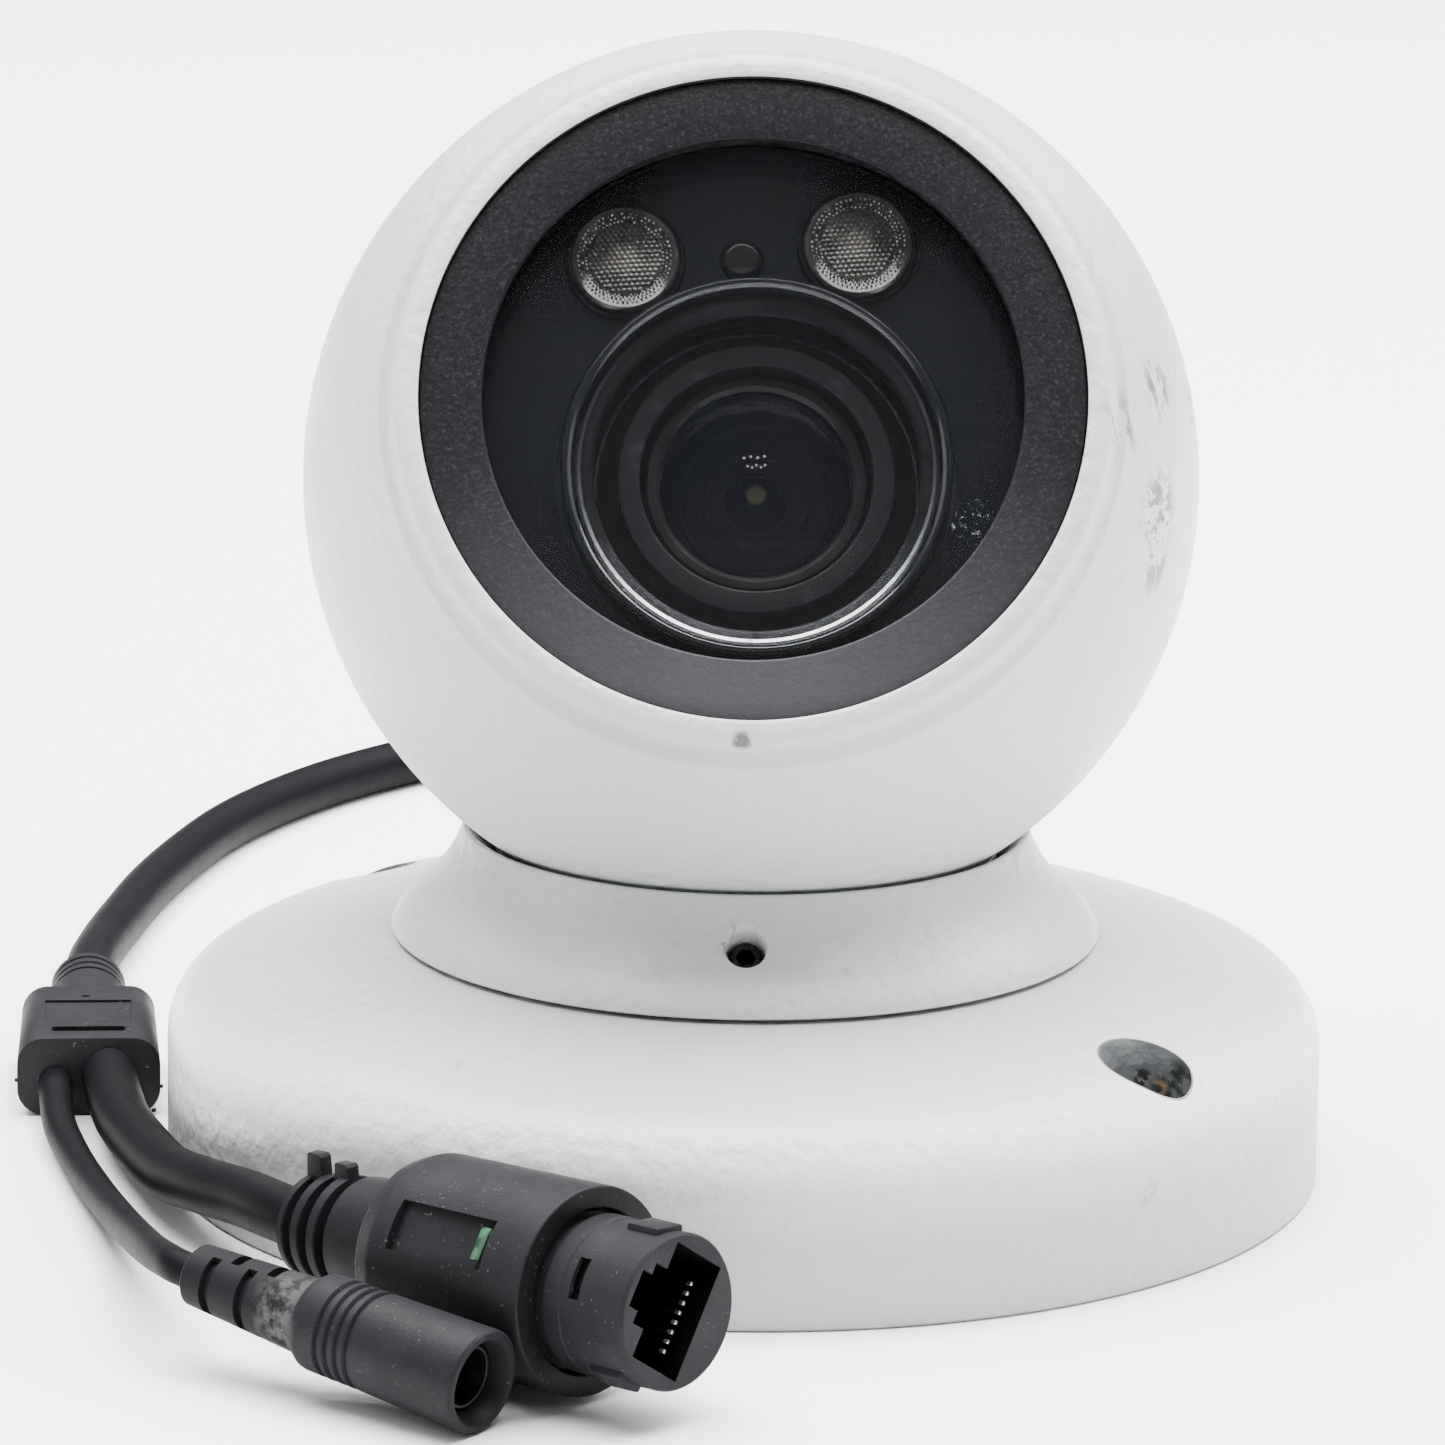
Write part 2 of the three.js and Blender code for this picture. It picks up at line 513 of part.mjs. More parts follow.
// Ring that the camera module turns in, held by three lugs.
const trackProfile = [
  [33.2, 12], [36.8, 12], [36.8, 16], [33.2, 16], [33.2, 15.3], [34.4, 15.3], [34.4, 12.7], [33.2, 12.7],
];
const lugs = [0, 90, 180].map((a) => block(5, 6, 12.2, 15.8, 38, 0).rotateZ(rad(a)));
add("module_track", join(turned(trackProfile, 24), ...lugs), LOOK.nylon, ball);

// ---------- camera module ----------
const camera = new THREE.Group();
camera.rotation.z = rad(MODULE_ROLL);
ball.add(camera);

const onLens = (g) => g.translate(0, LENS_Y, 0);
const onLed = (g, side) => g.translate(side * LED_X, LED_Y, 0);
const SENSOR_Y = 16.5;

function moduleBracket() {
  const plate = disc(33.9, 13, 15, 24);
  const front = [35, 145, 270].map((a) => disc(1.8, 14, 18.7, 8).translate(...polar(29.2, a).toArray()));
  const back = [40, 140, 220, 320].map((a) => disc(2, -14.7, 14, 8).translate(...polar(28, a).toArray()));
  return cut(join(plate, ...front, ...back), onLens(disc(14.7, 10, 20, 20)));
}
add("module_bracket", moduleBracket(), LOOK.aluminium, camera);

const lensHole = () => onLens(disc(20.5, 10, 40, 28));
add("infrared_board", cut(disc(31.4, 19, 20.4, 28), lensHole()), LOOK.board, camera);

function innerMask() {
  const ledHoles = [-1, 1].map((side) => onLed(disc(6.3, 15, 40, 16), side));
  const eye = disc(2.3, 15, 40, 20).translate(0, SENSOR_Y, 0);
  return cut(disc(32, 22.2, 23.6, FINE), lensHole(), ...ledHoles, eye);
}
add("inner_mask", innerMask(), LOOK.glossBlack, camera);

for (const [side, word] of [[-1, "left"], [1, "right"]]) {
  add(`led_chip_${word}`, onLed(block(3.5, 3.5, 20.7, 21.5), side), LOOK.phosphor, camera);
  const cone = turned([[0, 21.8], [3.2, 21.8], [5.5, 24.9], [5.6, 25.7], [0, 25.7]], 16);
  add(`led_lens_${word}`, onLed(cone, side), LOOK.clear, camera);
}
add("light_sensor", disc(1.95, 20.7, 24.6, 20).translate(0, SENSOR_Y, 0), LOOK.clear, camera);

const shroud = turned([[18.9, 17.2], [20, 17.2], [20, 26], [19.6, 26.4], [18.9, 26.2]], 24);
add("lens_shroud", onLens(shroud), LOOK.rubber, camera);
const trim = [[16.6, 17.2], [18.6, 17.2], [18.6, 24.6], [18.0, 24.8], [16.6, 23.2]];
add("lens_trim_ring", onLens(turned(trim, 24)), LOOK.aluminium, camera);
const barrel = [
  [9, -6.8], [14.2, -6.8], [14.2, 15.3], [16.4, 15.3], [16.4, 16.8], [14.2, 16.8], [14.2, 21.3], [11.9, 21.3],
  [11.9, -5.2], [9, -5.2],
];
add("lens_barrel", onLens(turned(barrel, 20)), LOOK.anodised, camera);
add("zoom_cell", onLens(ringBand(9.9, 11.5, 14.8, 19.3)), LOOK.anodised, camera);
const frontLens = [[0, 15.5], [9.6, 15.5], [9.6, 18.9], [7.2, 19.6], [4, 20.1], [0, 20.3]];
add("front_lens", onLens(turned(frontLens)), LOOK.lensGlass, camera);
add("iris_plate", onLens(ringBand(3, 11.4, 11, 11.7)), LOOK.anodised, camera);
add("focus_cell", onLens(ringBand(5.1, 11.4, 3.4, 7.4)), LOOK.anodised, camera);
add("focus_lens", onLens(turned([[0, 3.9], [4.8, 4.5], [4.8, 6.3], [0, 6.9]], 18)), LOOK.lensGlass, camera);
add("infrared_filter", onLens(block(8, 7, -3.2, -2.3)), LOOK.filter, camera);

for (const [side, word] of [[-1, "zoom"], [1, "focus"]]) {
  const motor = disc(4, -4, 11.5, 20).translate(side * 18.8, LENS_Y, 0);
  add(`${word}_motor`, motor, LOOK.steel, camera);
}
add("image_sensor", onLens(block(9, 7, -8.4, -7.1)), LOOK.chip, camera);
add("sensor_board", onLens(block(30, 26, -10.1, -8.7)), LOOK.board, camera);
add("main_board", disc(31, -16.5, -15, 24), LOOK.board, camera);

function heatSpreader() {
  const ribs = [-16, -8, 0, 8, 16].map((x) => block(1.6, 40, -22, -19, x, 0));
  return join(disc(27, -19.6, -18, 24), ...ribs);
}
add("heat_spreader", heatSpreader(), LOOK.aluminium, camera);

export default root;
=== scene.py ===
import json
import math

import bmesh
import bpy
from mathutils import Matrix, Vector


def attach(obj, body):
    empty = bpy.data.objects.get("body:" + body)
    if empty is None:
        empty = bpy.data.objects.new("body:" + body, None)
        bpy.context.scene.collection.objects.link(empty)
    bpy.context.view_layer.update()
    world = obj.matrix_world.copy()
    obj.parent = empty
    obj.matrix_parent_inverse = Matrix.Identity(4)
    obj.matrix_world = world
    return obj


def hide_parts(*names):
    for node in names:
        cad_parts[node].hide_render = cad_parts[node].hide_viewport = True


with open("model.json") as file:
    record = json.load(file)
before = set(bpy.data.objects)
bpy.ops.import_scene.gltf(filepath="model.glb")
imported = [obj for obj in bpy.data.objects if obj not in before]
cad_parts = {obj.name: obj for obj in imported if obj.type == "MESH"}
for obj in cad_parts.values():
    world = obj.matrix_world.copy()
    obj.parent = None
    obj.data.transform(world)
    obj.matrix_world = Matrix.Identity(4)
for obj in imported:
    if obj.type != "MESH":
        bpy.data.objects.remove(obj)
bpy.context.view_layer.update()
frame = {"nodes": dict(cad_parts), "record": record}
slots = {part["node"]: part["material_slot"] for part in frame["record"]["subparts"]}

MM = 0.001


def spin_z(degrees):
    return Matrix.Rotation(math.radians(degrees), 4, "Z")


def shifted(x, y, z):
    return Matrix.Translation((x, y, z))


# ---------- places, in millimetres, as in the CAD ----------
BALL_CENTRE = Vector((0, 0, 74.06))
AXIS_ELEVATION = math.radians(28.2)
MODULE_ROLL = math.radians(4.5)
EXIT_ANGLE = math.radians(80.7)
EXIT_Z = 6.4
LENS_Y = -5.95
LED = (12, 17.2)
SENSOR_Y = 16.5
POCKETS = [(40.893, -36.179), (-40.893, 36.179)]

BALL_R, BALL_INNER_R = 46.8, 44
TINY = 1e-6
WALL_EDGE, END_EDGE = 0.04, 0.03  # how softly a tint ends at a radius and at a height

SCALE = Matrix.Scale(MM, 4)
BALL = SCALE @ Matrix.Translation(BALL_CENTRE) @ Matrix.Rotation(math.pi / 2 - AXIS_ELEVATION, 4, "X")
MODULE = BALL @ Matrix.Rotation(MODULE_ROLL, 4, "Z")
LENS = MODULE @ shifted(0, LENS_Y, 0)
EXIT = SCALE @ shifted(0, 0, EXIT_Z) @ Matrix.Rotation(EXIT_ANGLE, 4, "Z")
EXIT = EXIT @ Matrix.Rotation(math.pi / 2, 4, "Y")


def along(start, end):
    """Local +Z runs from start to end and local +Y stays upright."""
    z = (Vector(end) - Vector(start)).normalized()
    x = Vector((0, 0, 1)).cross(z).normalized()
    y = z.cross(x)
    turn = Matrix((x, y, z)).transposed().to_4x4()
    return SCALE @ Matrix.Translation(start) @ turn


def placed(name, data):
    """A new object in the scene."""
    piece = bpy.data.objects.new(name, data)
    bpy.context.scene.collection.objects.link(piece)
    return piece


# ---------- camera ----------
cam_data = bpy.data.cameras.new("camera")
cam_data.lens = 228.5
cam_data.sensor_width = 36
cam_data.clip_start = 0.05
camera = placed("camera", cam_data)
PITCH, YAW, ROLL = 0.243, 0.0013, 0.013
forward = Vector((math.sin(YAW) * math.cos(PITCH), math.cos(YAW) * math.cos(PITCH), -math.sin(PITCH)))
level = Vector((math.cos(YAW), -math.sin(YAW), 0))
upright = level.cross(forward)
right = level * math.cos(ROLL) + upright * math.sin(ROLL)
up = upright * math.cos(ROLL) - level * math.sin(ROLL)
turn = Matrix((right, up, -forward)).transposed().to_4x4()
camera.matrix_world = Matrix.Translation((-0.003872, -0.93680, 0.28001)) @ turn
bpy.context.scene.camera = camera


# ---------- materials ----------
class Look:
    """A Principled material and the nodes that feed it. Patterns are in object space, in metres."""

    def __init__(self, name, color, roughness, metallic=0.0, level=0.5, **sockets):
        self.material = bpy.data.materials.new(name)
        self.material.use_nodes = True
        self.tree = self.material.node_tree
        self.bsdf = self.tree.nodes["Principled BSDF"]
        sockets |= {"Base Color": (*color, 1.0), "Roughness": roughness, "Metallic": metallic}
        sockets["Specular IOR Level"] = level
        for key, value in sockets.items():
            self.bsdf.inputs[key.replace("_", " ")].default_value = value
        self.place = self.tree.nodes.new("ShaderNodeTexCoord").outputs["Object"]
        self.color = color

    def add(self, kind, inputs, **props):
        """A new node; each input is a value to set or a socket to link."""
        node = self.tree.nodes.new(kind)
        for key, value in props.items():
            setattr(node, key, value)
        for key, value in inputs.items():
            self.link(value, node.inputs[key])
        return node

    def link(self, value, socket):
        if isinstance(value, bpy.types.NodeSocket):
            self.tree.links.new(value, socket)
        else:
            socket.default_value = value

    def mapped(self, scale):
        return self.add("ShaderNodeMapping", {"Vector": self.place, "Scale": scale}).outputs["Vector"]

    def noise(self, scale, detail=2.0, roughness=0.5, vector=None, distortion=0.0):
        inputs = {"Vector": vector or self.place, "Scale": scale, "Detail": detail}
        inputs |= {"Roughness": roughness, "Distortion": distortion}
        return self.add("ShaderNodeTexNoise", inputs).outputs["Fac"]

    def cells(self, scale, feature="F1"):
        inputs = {"Vector": self.place, "Scale": scale}
        return self.add("ShaderNodeTexVoronoi", inputs, feature=feature).outputs["Distance"]

    def step(self, value, low, high, out_low=0.0, out_high=1.0):
        inputs = {"Value": value, "From Min": low, "From Max": high, "To Min": out_low, "To Max": out_high}
        return self.add("ShaderNodeMapRange", inputs, interpolation_type="SMOOTHSTEP").outputs["Result"]

    def patch(self, noise, low, high, *out):
        """Soft-edged patches out of noise, which is (scale, detail, roughness)."""
        return self.step(self.noise(*noise), low, high, *out)

    def math(self, operation, a, b=0.0, clamp=False):
        return self.add("ShaderNodeMath", {0: a, 1: b}, operation=operation, use_clamp=clamp).outputs[0]

    def times(self, a, b):
        return self.math("MULTIPLY", a, b)

    def mix(self, factor, a, b):
        a, b = ((*c, 1.0) if isinstance(c, tuple) else c for c in (a, b))
        return self.add("ShaderNodeMix", {"Factor": factor, 6: a, 7: b}, data_type="RGBA").outputs[2]

    def near(self, point, reach, edge=0.5):
        """1 around a point given in millimetres, 0 beyond reach millimetres."""
        inputs = {0: self.place, 1: Vector(point) * MM}
        away = self.add("ShaderNodeVectorMath", inputs, operation="DISTANCE").outputs["Value"]
        return self.step(away, reach * edge * MM, reach * MM, 1.0, 0.0)

    def height(self, place):
        """Distance in metres along place's own Z axis, from its origin."""
        axis = place.to_3x3().normalized() @ Vector((0, 0, 1))
        along_axis = self.add("ShaderNodeVectorMath", {0: self.place, 1: axis}, operation="DOT_PRODUCT")
        return self.math("SUBTRACT", along_axis.outputs["Value"], place.translation.dot(axis))

    def radius(self, place):
        """Distance in metres from place's own Z axis."""
        inputs = {0: self.place, 1: place.translation}
        away = self.add("ShaderNodeVectorMath", inputs, operation="DISTANCE").outputs["Value"]
        rise = self.math("ABSOLUTE", self.height(place))
        square = self.math("SUBTRACT", self.math("POWER", away, 2), self.math("POWER", rise, 2))
        return self.math("SQRT", self.math("MAXIMUM", square, 0))

    def within(self, place, radius, low, high):
        """1 nearer place's Z axis than radius and between two heights along it, in millimetres."""
        rise = self.height(place)
        inside = self.step(self.radius(place), (radius - WALL_EDGE) * MM, radius * MM, 1, 0)
        above = self.step(rise, (low - END_EDGE) * MM, low * MM)
        under = self.step(rise, (high - END_EDGE) * MM, high * MM, 1, 0)
        return self.times(inside, self.times(above, under))

    def paint(self, value):
        self.link(value, self.bsdf.inputs["Base Color"])

    def rough(self, value):
        self.link(value, self.bsdf.inputs["Roughness"])

    def bump(self, *layers):
        """Bump layers, each (height, distance in mm), one on top of the other."""
        below = None
        for height, distance in layers:
            inputs = {"Height": height, "Distance": distance * MM}
            if below:
                inputs["Normal"] = below
            below = self.add("ShaderNodeBump", inputs).outputs["Normal"]
        self.link(below, self.bsdf.inputs["Normal"])


def scaled(color, factor):
    return tuple(c * factor for c in color)


def at(place, x, y, h=0.0):
    """A point of a place's own axes, in row millimetres at rest."""
    return (place @ Vector((x, y, h))) / MM


def white_paint(name, scuffs=(), stains=(), shade=None):
    look = Look(name, (0.515, 0.534, 0.510), 0.4, Coat_Weight=0.12, Coat_Roughness=0.3)
    cloudy = look.noise(18, 3)
    color = look.mix(look.step(cloudy, 0.35, 0.7), (0.50, 0.519, 0.495), (0.535, 0.552, 0.528))
    specks = look.patch((900, 1), 0.74, 0.80)
    color = look.mix(look.times(specks, 0.25), color, (0.45, 0.42, 0.36))
    for point, reach, amount, stretch in scuffs:
        streaks = look.noise(520, 5, 0.65, look.mapped(stretch), 0.6)
        mask = look.times(look.step(streaks, 0.49, 0.54), look.near(point, reach, 0.35))
        color = look.mix(look.times(mask, amount), color, (0.055, 0.06, 0.06))
    for point, reach, amount in stains:
        mask = look.times(look.patch((1100, 3), 0.45, 0.6), look.near(point, reach, 0.3))
        color = look.mix(look.times(mask, amount), color, (0.33, 0.22, 0.12))
    look.paint(shade(look, color) if shade else color)
    look.rough(look.patch((60, 3), 0.3, 0.7, 0.36, 0.46))
    peel = look.noise(560, 2, 0.45)
    fine = look.noise(1900, 2, 0.5)
    look.bump((peel, 0.34), (fine, 0.05))
    return look


def black_plastic(name, color, roughness, dust, grain=2600, blotch=0.16, level=0.07):
    """Matt black with soft blotches, a fine grain and a few pale motes."""
    look = Look(name, color, roughness, level=level)
    soft = look.patch((90, 4), 0.35, 0.75)
    shade = look.mix(soft, scaled(color, 1 - blotch), scaled(color, 1 + blotch))
    motes = look.step(look.cells(1500), 0.10, 0.04)
    sparse = look.patch((420, 2), 0.56, 0.66)
    flecks = look.times(look.times(motes, sparse), dust)
    look.paint(look.mix(flecks, shade, (0.12, 0.125, 0.125)))
    look.rough(look.patch((160, 3), 0.3, 0.7, roughness - blotch / 3, roughness + blotch / 2))
    look.bump((look.noise(grain, 2), 0.035), (look.noise(300, 2), 0.4 * blotch))
    return look


def smooth_metal(name, color, roughness, grain=(1, 1, 14), depth=0.02):
    look = Look(name, color, roughness, 1.0)
    lines = look.noise(900, 3, 0.6, look.mapped(grain))
    look.paint(look.mix(look.step(lines, 0.3, 0.7), scaled(color, 0.85), scaled(color, 1.12)))
    look.rough(look.step(lines, 0.2, 0.8, roughness - 0.08, roughness + 0.1))
    look.bump((lines, depth))
    return look


# ---------- mesh helpers; outlines are in millimetres ----------
def finish_mesh(name, mesh, look, body, place, node=None, slot=None, sharp=30):
    """A visible piece. Where it stands for a CAD node, that node is hidden."""
    mesh.transform(place)
    mesh.validate()
    mesh.shade_smooth()
    mesh.set_sharp_from_angle(angle=math.radians(sharp))
    piece = placed(name, mesh)
    mesh.materials.clear()
    mesh.materials.append(look.material)
    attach(piece, body)
    if node:
        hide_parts(node)
    return piece


def from_bmesh(bm, name="piece"):
    bmesh.ops.recalc_face_normals(bm, faces=bm.faces)
    mesh = bpy.data.meshes.new(name)
    bm.to_mesh(mesh)
    bm.free()
    return mesh


def rounded(points, radius, steps=4):
    """Rounds the corners of a closed [r, h] outline. radius is one number, or one per corner."""
    count = len(points)
    radii = radius if isinstance(radius, (list, tuple)) else [radius] * count
    out = []
    for i, corner in enumerate(points):
        p = Vector(corner)
        before, after = Vector(points[i - 1]) - p, Vector(points[(i + 1) % count]) - p
        if radii[i] <= 0 or p.x < TINY or before.length < TINY or after.length < TINY:
            out.append(tuple(p))
            continue
        half = before.angle(after) / 2
        reach = min(radii[i] / max(math.tan(half), 1e-3), 0.48 * before.length, 0.48 * after.length)
        if math.degrees(half) > 88:
            out.append(tuple(p))
            continue
        start, end = p + before.normalized() * reach, p + after.normalized() * reach
        for k in range(steps + 1):
            t = k / steps
            out.append(tuple((1 - t) ** 2 * start + 2 * t * (1 - t) * p + t * t * end))
    return out


def lathe_mesh(outline, turns=96):
    """A closed [radius, height] outline turned about local Z."""
    bm = bmesh.new()
    rings = []
    for r, h in outline:
        if r < TINY:
            rings.append([bm.verts.new((0, 0, h))])
        else:
            rings.append([
                bm.verts.new((r * math.cos(a), r * math.sin(a), h))
                for a in (2 * math.pi * k / turns for k in range(turns))
            ])
    for i, low in enumerate(rings):
        high = rings[(i + 1) % len(rings)]
        for k in range(turns):
            n = (k + 1) % turns
            corners = [low[k % len(low)], low[n % len(low)], high[n % len(high)], high[k % len(high)]]
            unique = list(dict.fromkeys(corners))
            if len(unique) > 2:
                bm.faces.new(unique)
    return from_bmesh(bm)


def lathe(name, outline, look, body, place, turns, node=None, **rest):
    return finish_mesh(name, lathe_mesh(outline, turns), look, body, place, node, **rest)


def band_outline(inner, outer, low, high, edge=0.0):
    return rounded([(inner, low), (outer, low), (outer, high), (inner, high)], edge)


def arc(r, start, end, steps):
    """[radius, height] points of a circle; angles in degrees from the height axis."""
    angles = [math.radians(start + (end - start) * i / steps) for i in range(steps + 1)]
    return [(r * math.sin(a), r * math.cos(a)) for a in angles]


def polar(height, r):
    """The angle of a circle's point at that height, in degrees from the height axis."""
    return math.degrees(math.acos(height / r))


def prism_mesh(outline, low, high, bevel=0.0, segments=2):
    """A flat [x, y] outline made solid from low to high, with bevelled ends."""
    bm = bmesh.new()
    ring = [bm.verts.new((x, y, low)) for x, y in outline]
    face = bm.faces.new(ring)
    top = bmesh.ops.extrude_face_region(bm, geom=[face])["geom"]
    for v in (g for g in top if isinstance(g, bmesh.types.BMVert)):
        v.co.z = high
    if bevel:
        edges = [e for e in bm.edges if abs(e.verts[0].co.z - e.verts[1].co.z) < TINY]
        bmesh.ops.bevel(bm, geom=edges, offset=bevel, segments=segments, profile=0.5, affect="EDGES")
    return from_bmesh(bm)


def block_mesh(w, d, low, high, x=0.0, y=0.0, bevel=0.0, segments=2):
    bm = bmesh.new()
    place = shifted(x, y, (low + high) / 2) @ Matrix.Diagonal((w, d, high - low, 1))
    bmesh.ops.create_cube(bm, size=1, matrix=place)
    if bevel:
        bmesh.ops.bevel(bm, geom=bm.edges[:], offset=bevel, segments=segments, profile=0.5, affect="EDGES")
    return from_bmesh(bm)


def on_circle(r, degrees, x=0.0, y=0.0):
    a = math.radians(degrees)
    return x + r * math.cos(a), y + r * math.sin(a)


def rounded_rect(w, h, r, steps=6):
    a, b = w / 2 - r, h / 2 - r
    corners = [(a, b, 0), (-a, b, 90), (-a, -b, 180), (a, -b, 270)]
    return [on_circle(r, start + 90 * k / steps, x, y) for x, y, start in corners for k in range(steps + 1)]


def turned_mesh(mesh, *matrices):
    for m in matrices:
        mesh.transform(m)
    return mesh


def merged(*meshes):
    bm = bmesh.new()
    for mesh in meshes:
        bm.from_mesh(mesh)
    out = bpy.data.meshes.new("merged")
    bm.to_mesh(out)
    bm.free()
    return out


def carved(body, *tools, operation="DIFFERENCE"):
    """The body mesh with each tool mesh taken out of it, or joined to it."""
    for tool in tools:
        holder, cutter = placed("carve_body", body), placed("carve_tool", tool)
        modifier = holder.modifiers.new("carve", "BOOLEAN")
        modifier.operation = operation
        modifier.solver = "EXACT"
        modifier.object = cutter
        graph = bpy.context.evaluated_depsgraph_get()
        body = bpy.data.meshes.new_from_object(holder.evaluated_get(graph))
        bpy.data.objects.remove(holder)
        bpy.data.objects.remove(cutter)
    return body


# ---------- cords ----------
def catmull(points, per=10):
    """A smooth curve through the points, as three.js's centripetal Catmull-Rom draws it."""
    pts = [Vector(p) for p in points]
    pts = [pts[0] * 2 - pts[1], *pts, pts[-1] * 2 - pts[-2]]
    out = []
    for p0, p1, p2, p3 in zip(pts, pts[1:], pts[2:], pts[3:]):
        d0, d1, d2 = ((b - a).length ** 0.5 for a, b in ((p0, p1), (p1, p2), (p2, p3)))
        t1 = ((p1 - p0) / d0 - (p2 - p0) / (d0 + d1) + (p2 - p1) / d1) * d1
        t2 = ((p2 - p1) / d1 - (p3 - p1) / (d1 + d2) + (p3 - p2) / d2) * d1
        for k in range(per):
            t = k / per
            start, end = p1 * (2 * t**3 - 3 * t**2 + 1), p2 * (3 * t**2 - 2 * t**3)
            out.append(start + t1 * (t**3 - 2 * t**2 + t) + end + t2 * (t**3 - t**2))
    out.append(pts[-2])
    return out


def cord_curve(name, route, diameter, look, node):
    data = bpy.data.curves.new(name, "CURVE")
    data.dimensions = "3D"
    data.bevel_depth = diameter / 2 * MM
    data.bevel_resolution = 7
    data.use_fill_caps = True
    points = catmull(route)
    spline = data.splines.new("POLY")
    spline.points.add(len(points) - 1)
    for point, place in zip(spline.points, points):
        point.co = (*(place * MM), 1)
    spline.use_smooth = True
    data.materials.append(look.material)
    piece = placed(name, data)
    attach(piece, "base")
    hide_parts(node)
    length = sum((b - a).length for a, b in zip(points, points[1:]))
    return piece, length * MM


def exit_point(r, z):
    return (r * math.cos(EXIT_ANGLE), r * math.sin(EXIT_ANGLE), z)


MAIN_ROUTE = [
    exit_point(56.8, EXIT_Z), exit_point(66, EXIT_Z), exit_point(76, 6.1), (15.2, 86.5, 4.4),
    (19.1, 99.7, 3.1), (24.7, 115.8, 2.9), (28.8, 132, 2.9), (29.8, 149, 2.9), (25.9, 164.9, 2.9),
    (16.8, 176.6, 2.9), (3.3, 183.2, 2.9), (-11.7, 182.7, 2.9), (-27.1, 173.2, 2.9), (-41.4, 159, 2.9),
    (-50, 148.5, 2.9), (-57, 136.8, 2.9), (-62.1, 125.1, 2.9), (-66.2, 111, 2.9), (-69.2, 97.4, 2.9),
    (-71.2, 84, 3), (-72.6, 71.5, 3.4), (-73.2, 60, 4.1), (-73, 49.9, 4.4), (-72.8, 46, 4.4),
]
NETWORK_ROUTE = [
    (-68.2, 12.5, 4.8), (-66.9, 3.1, 4.7), (-65.3, -5.6, 4.7), (-62.9, -14.4, 4.9), (-59.4, -26, 5.5),
    (-55.5, -35, 6.9), (-50.6, -44.4, 8.4), (-46.9, -51.8, 9.3), (-43.9, -56.2, 9.6), (-40.4, -59.6, 9.8),
]
POWER_ROUTE = [
    (-74, 12.5, 3.9), (-73.6, 8, 3.5), (-72.6, -0.2, 2.8), (-71, -7.4, 2.4), (-69.3, -14.6, 2.4),
    (-67.2, -23.4, 2.8), (-65, -33.1, 3.7), (-62.7, -43.5, 5), (-60.6, -53.8, 6.7), (-58.8, -62.3, 8.2),
    (-57.1, -68.3, 9.2), (-55.6, -71.9, 9.6), (-53.9, -73.32, 9.4), (-51.1, -75.4, 9.02),
]
SPLITTER_ENDS = (-72.9, 48.6, 4.4), (-70.4, 12.9, 4.4)
SOCKET_ENDS = (-43.3, -56.82, 9.62), (-6.33, -91.87, 11.84)
JACK_ENDS = (-53.87, -73.34, 9.4), (-24.95, -94.74, 5.43)
SPLITTER, SOCKET, JACK = (along(*ends) for ends in (SPLITTER_ENDS, SOCKET_ENDS, JACK_ENDS))
SPLITTER_L, SOCKET_L, JACK_L = (
    (Vector(b) - Vector(a)).length for a, b in (SPLITTER_ENDS, SOCKET_ENDS, JACK_ENDS)
)

jacket = black_plastic(
    "cable_jacket_satin", (0.0043, 0.0044, 0.0053), 0.5, 0.2, 1500, blotch=0.04, level=0.04
)
main_cable, main_length = cord_curve("main_cable_jacket", MAIN_ROUTE, 5.7, jacket, "main_cable")
network_lead, network_length = cord_curve("network_lead_jacket", NETWORK_ROUTE, 6.0, jacket, "network_lead")
power_lead, power_length = cord_curve("power_lead_jacket", POWER_ROUTE, 3.6, jacket, "power_lead")

# ---------- base, collar and their screw ----------
def ball_shade(look, color):
    """Painted shade: black inside the window seat, a dark line in the seam groove and a darker slope under
    the rim.
    """
    rise = look.height(BALL)
    # Painted shade on the slope under the rim.
    slope = look.times(
        look.step(rise, 27.1 * MM, 27.7 * MM), look.step(rise, 28.8 * MM, 30.4 * MM, 0.45, 0)
    )
    color = look.mix(slope, color, (0.30, 0.31, 0.295))
    # Painted shade: the window seat behind the bezel is painted near black.
    color = look.mix(look.within(BALL, 33.98, 15, 31.2), color, (0.013, 0.013, 0.014))
    # Painted shade in the seam groove between the shells.
    return look.mix(look.within(BALL, 60, -3.45, -2.75), color, (0.09, 0.09, 0.085))


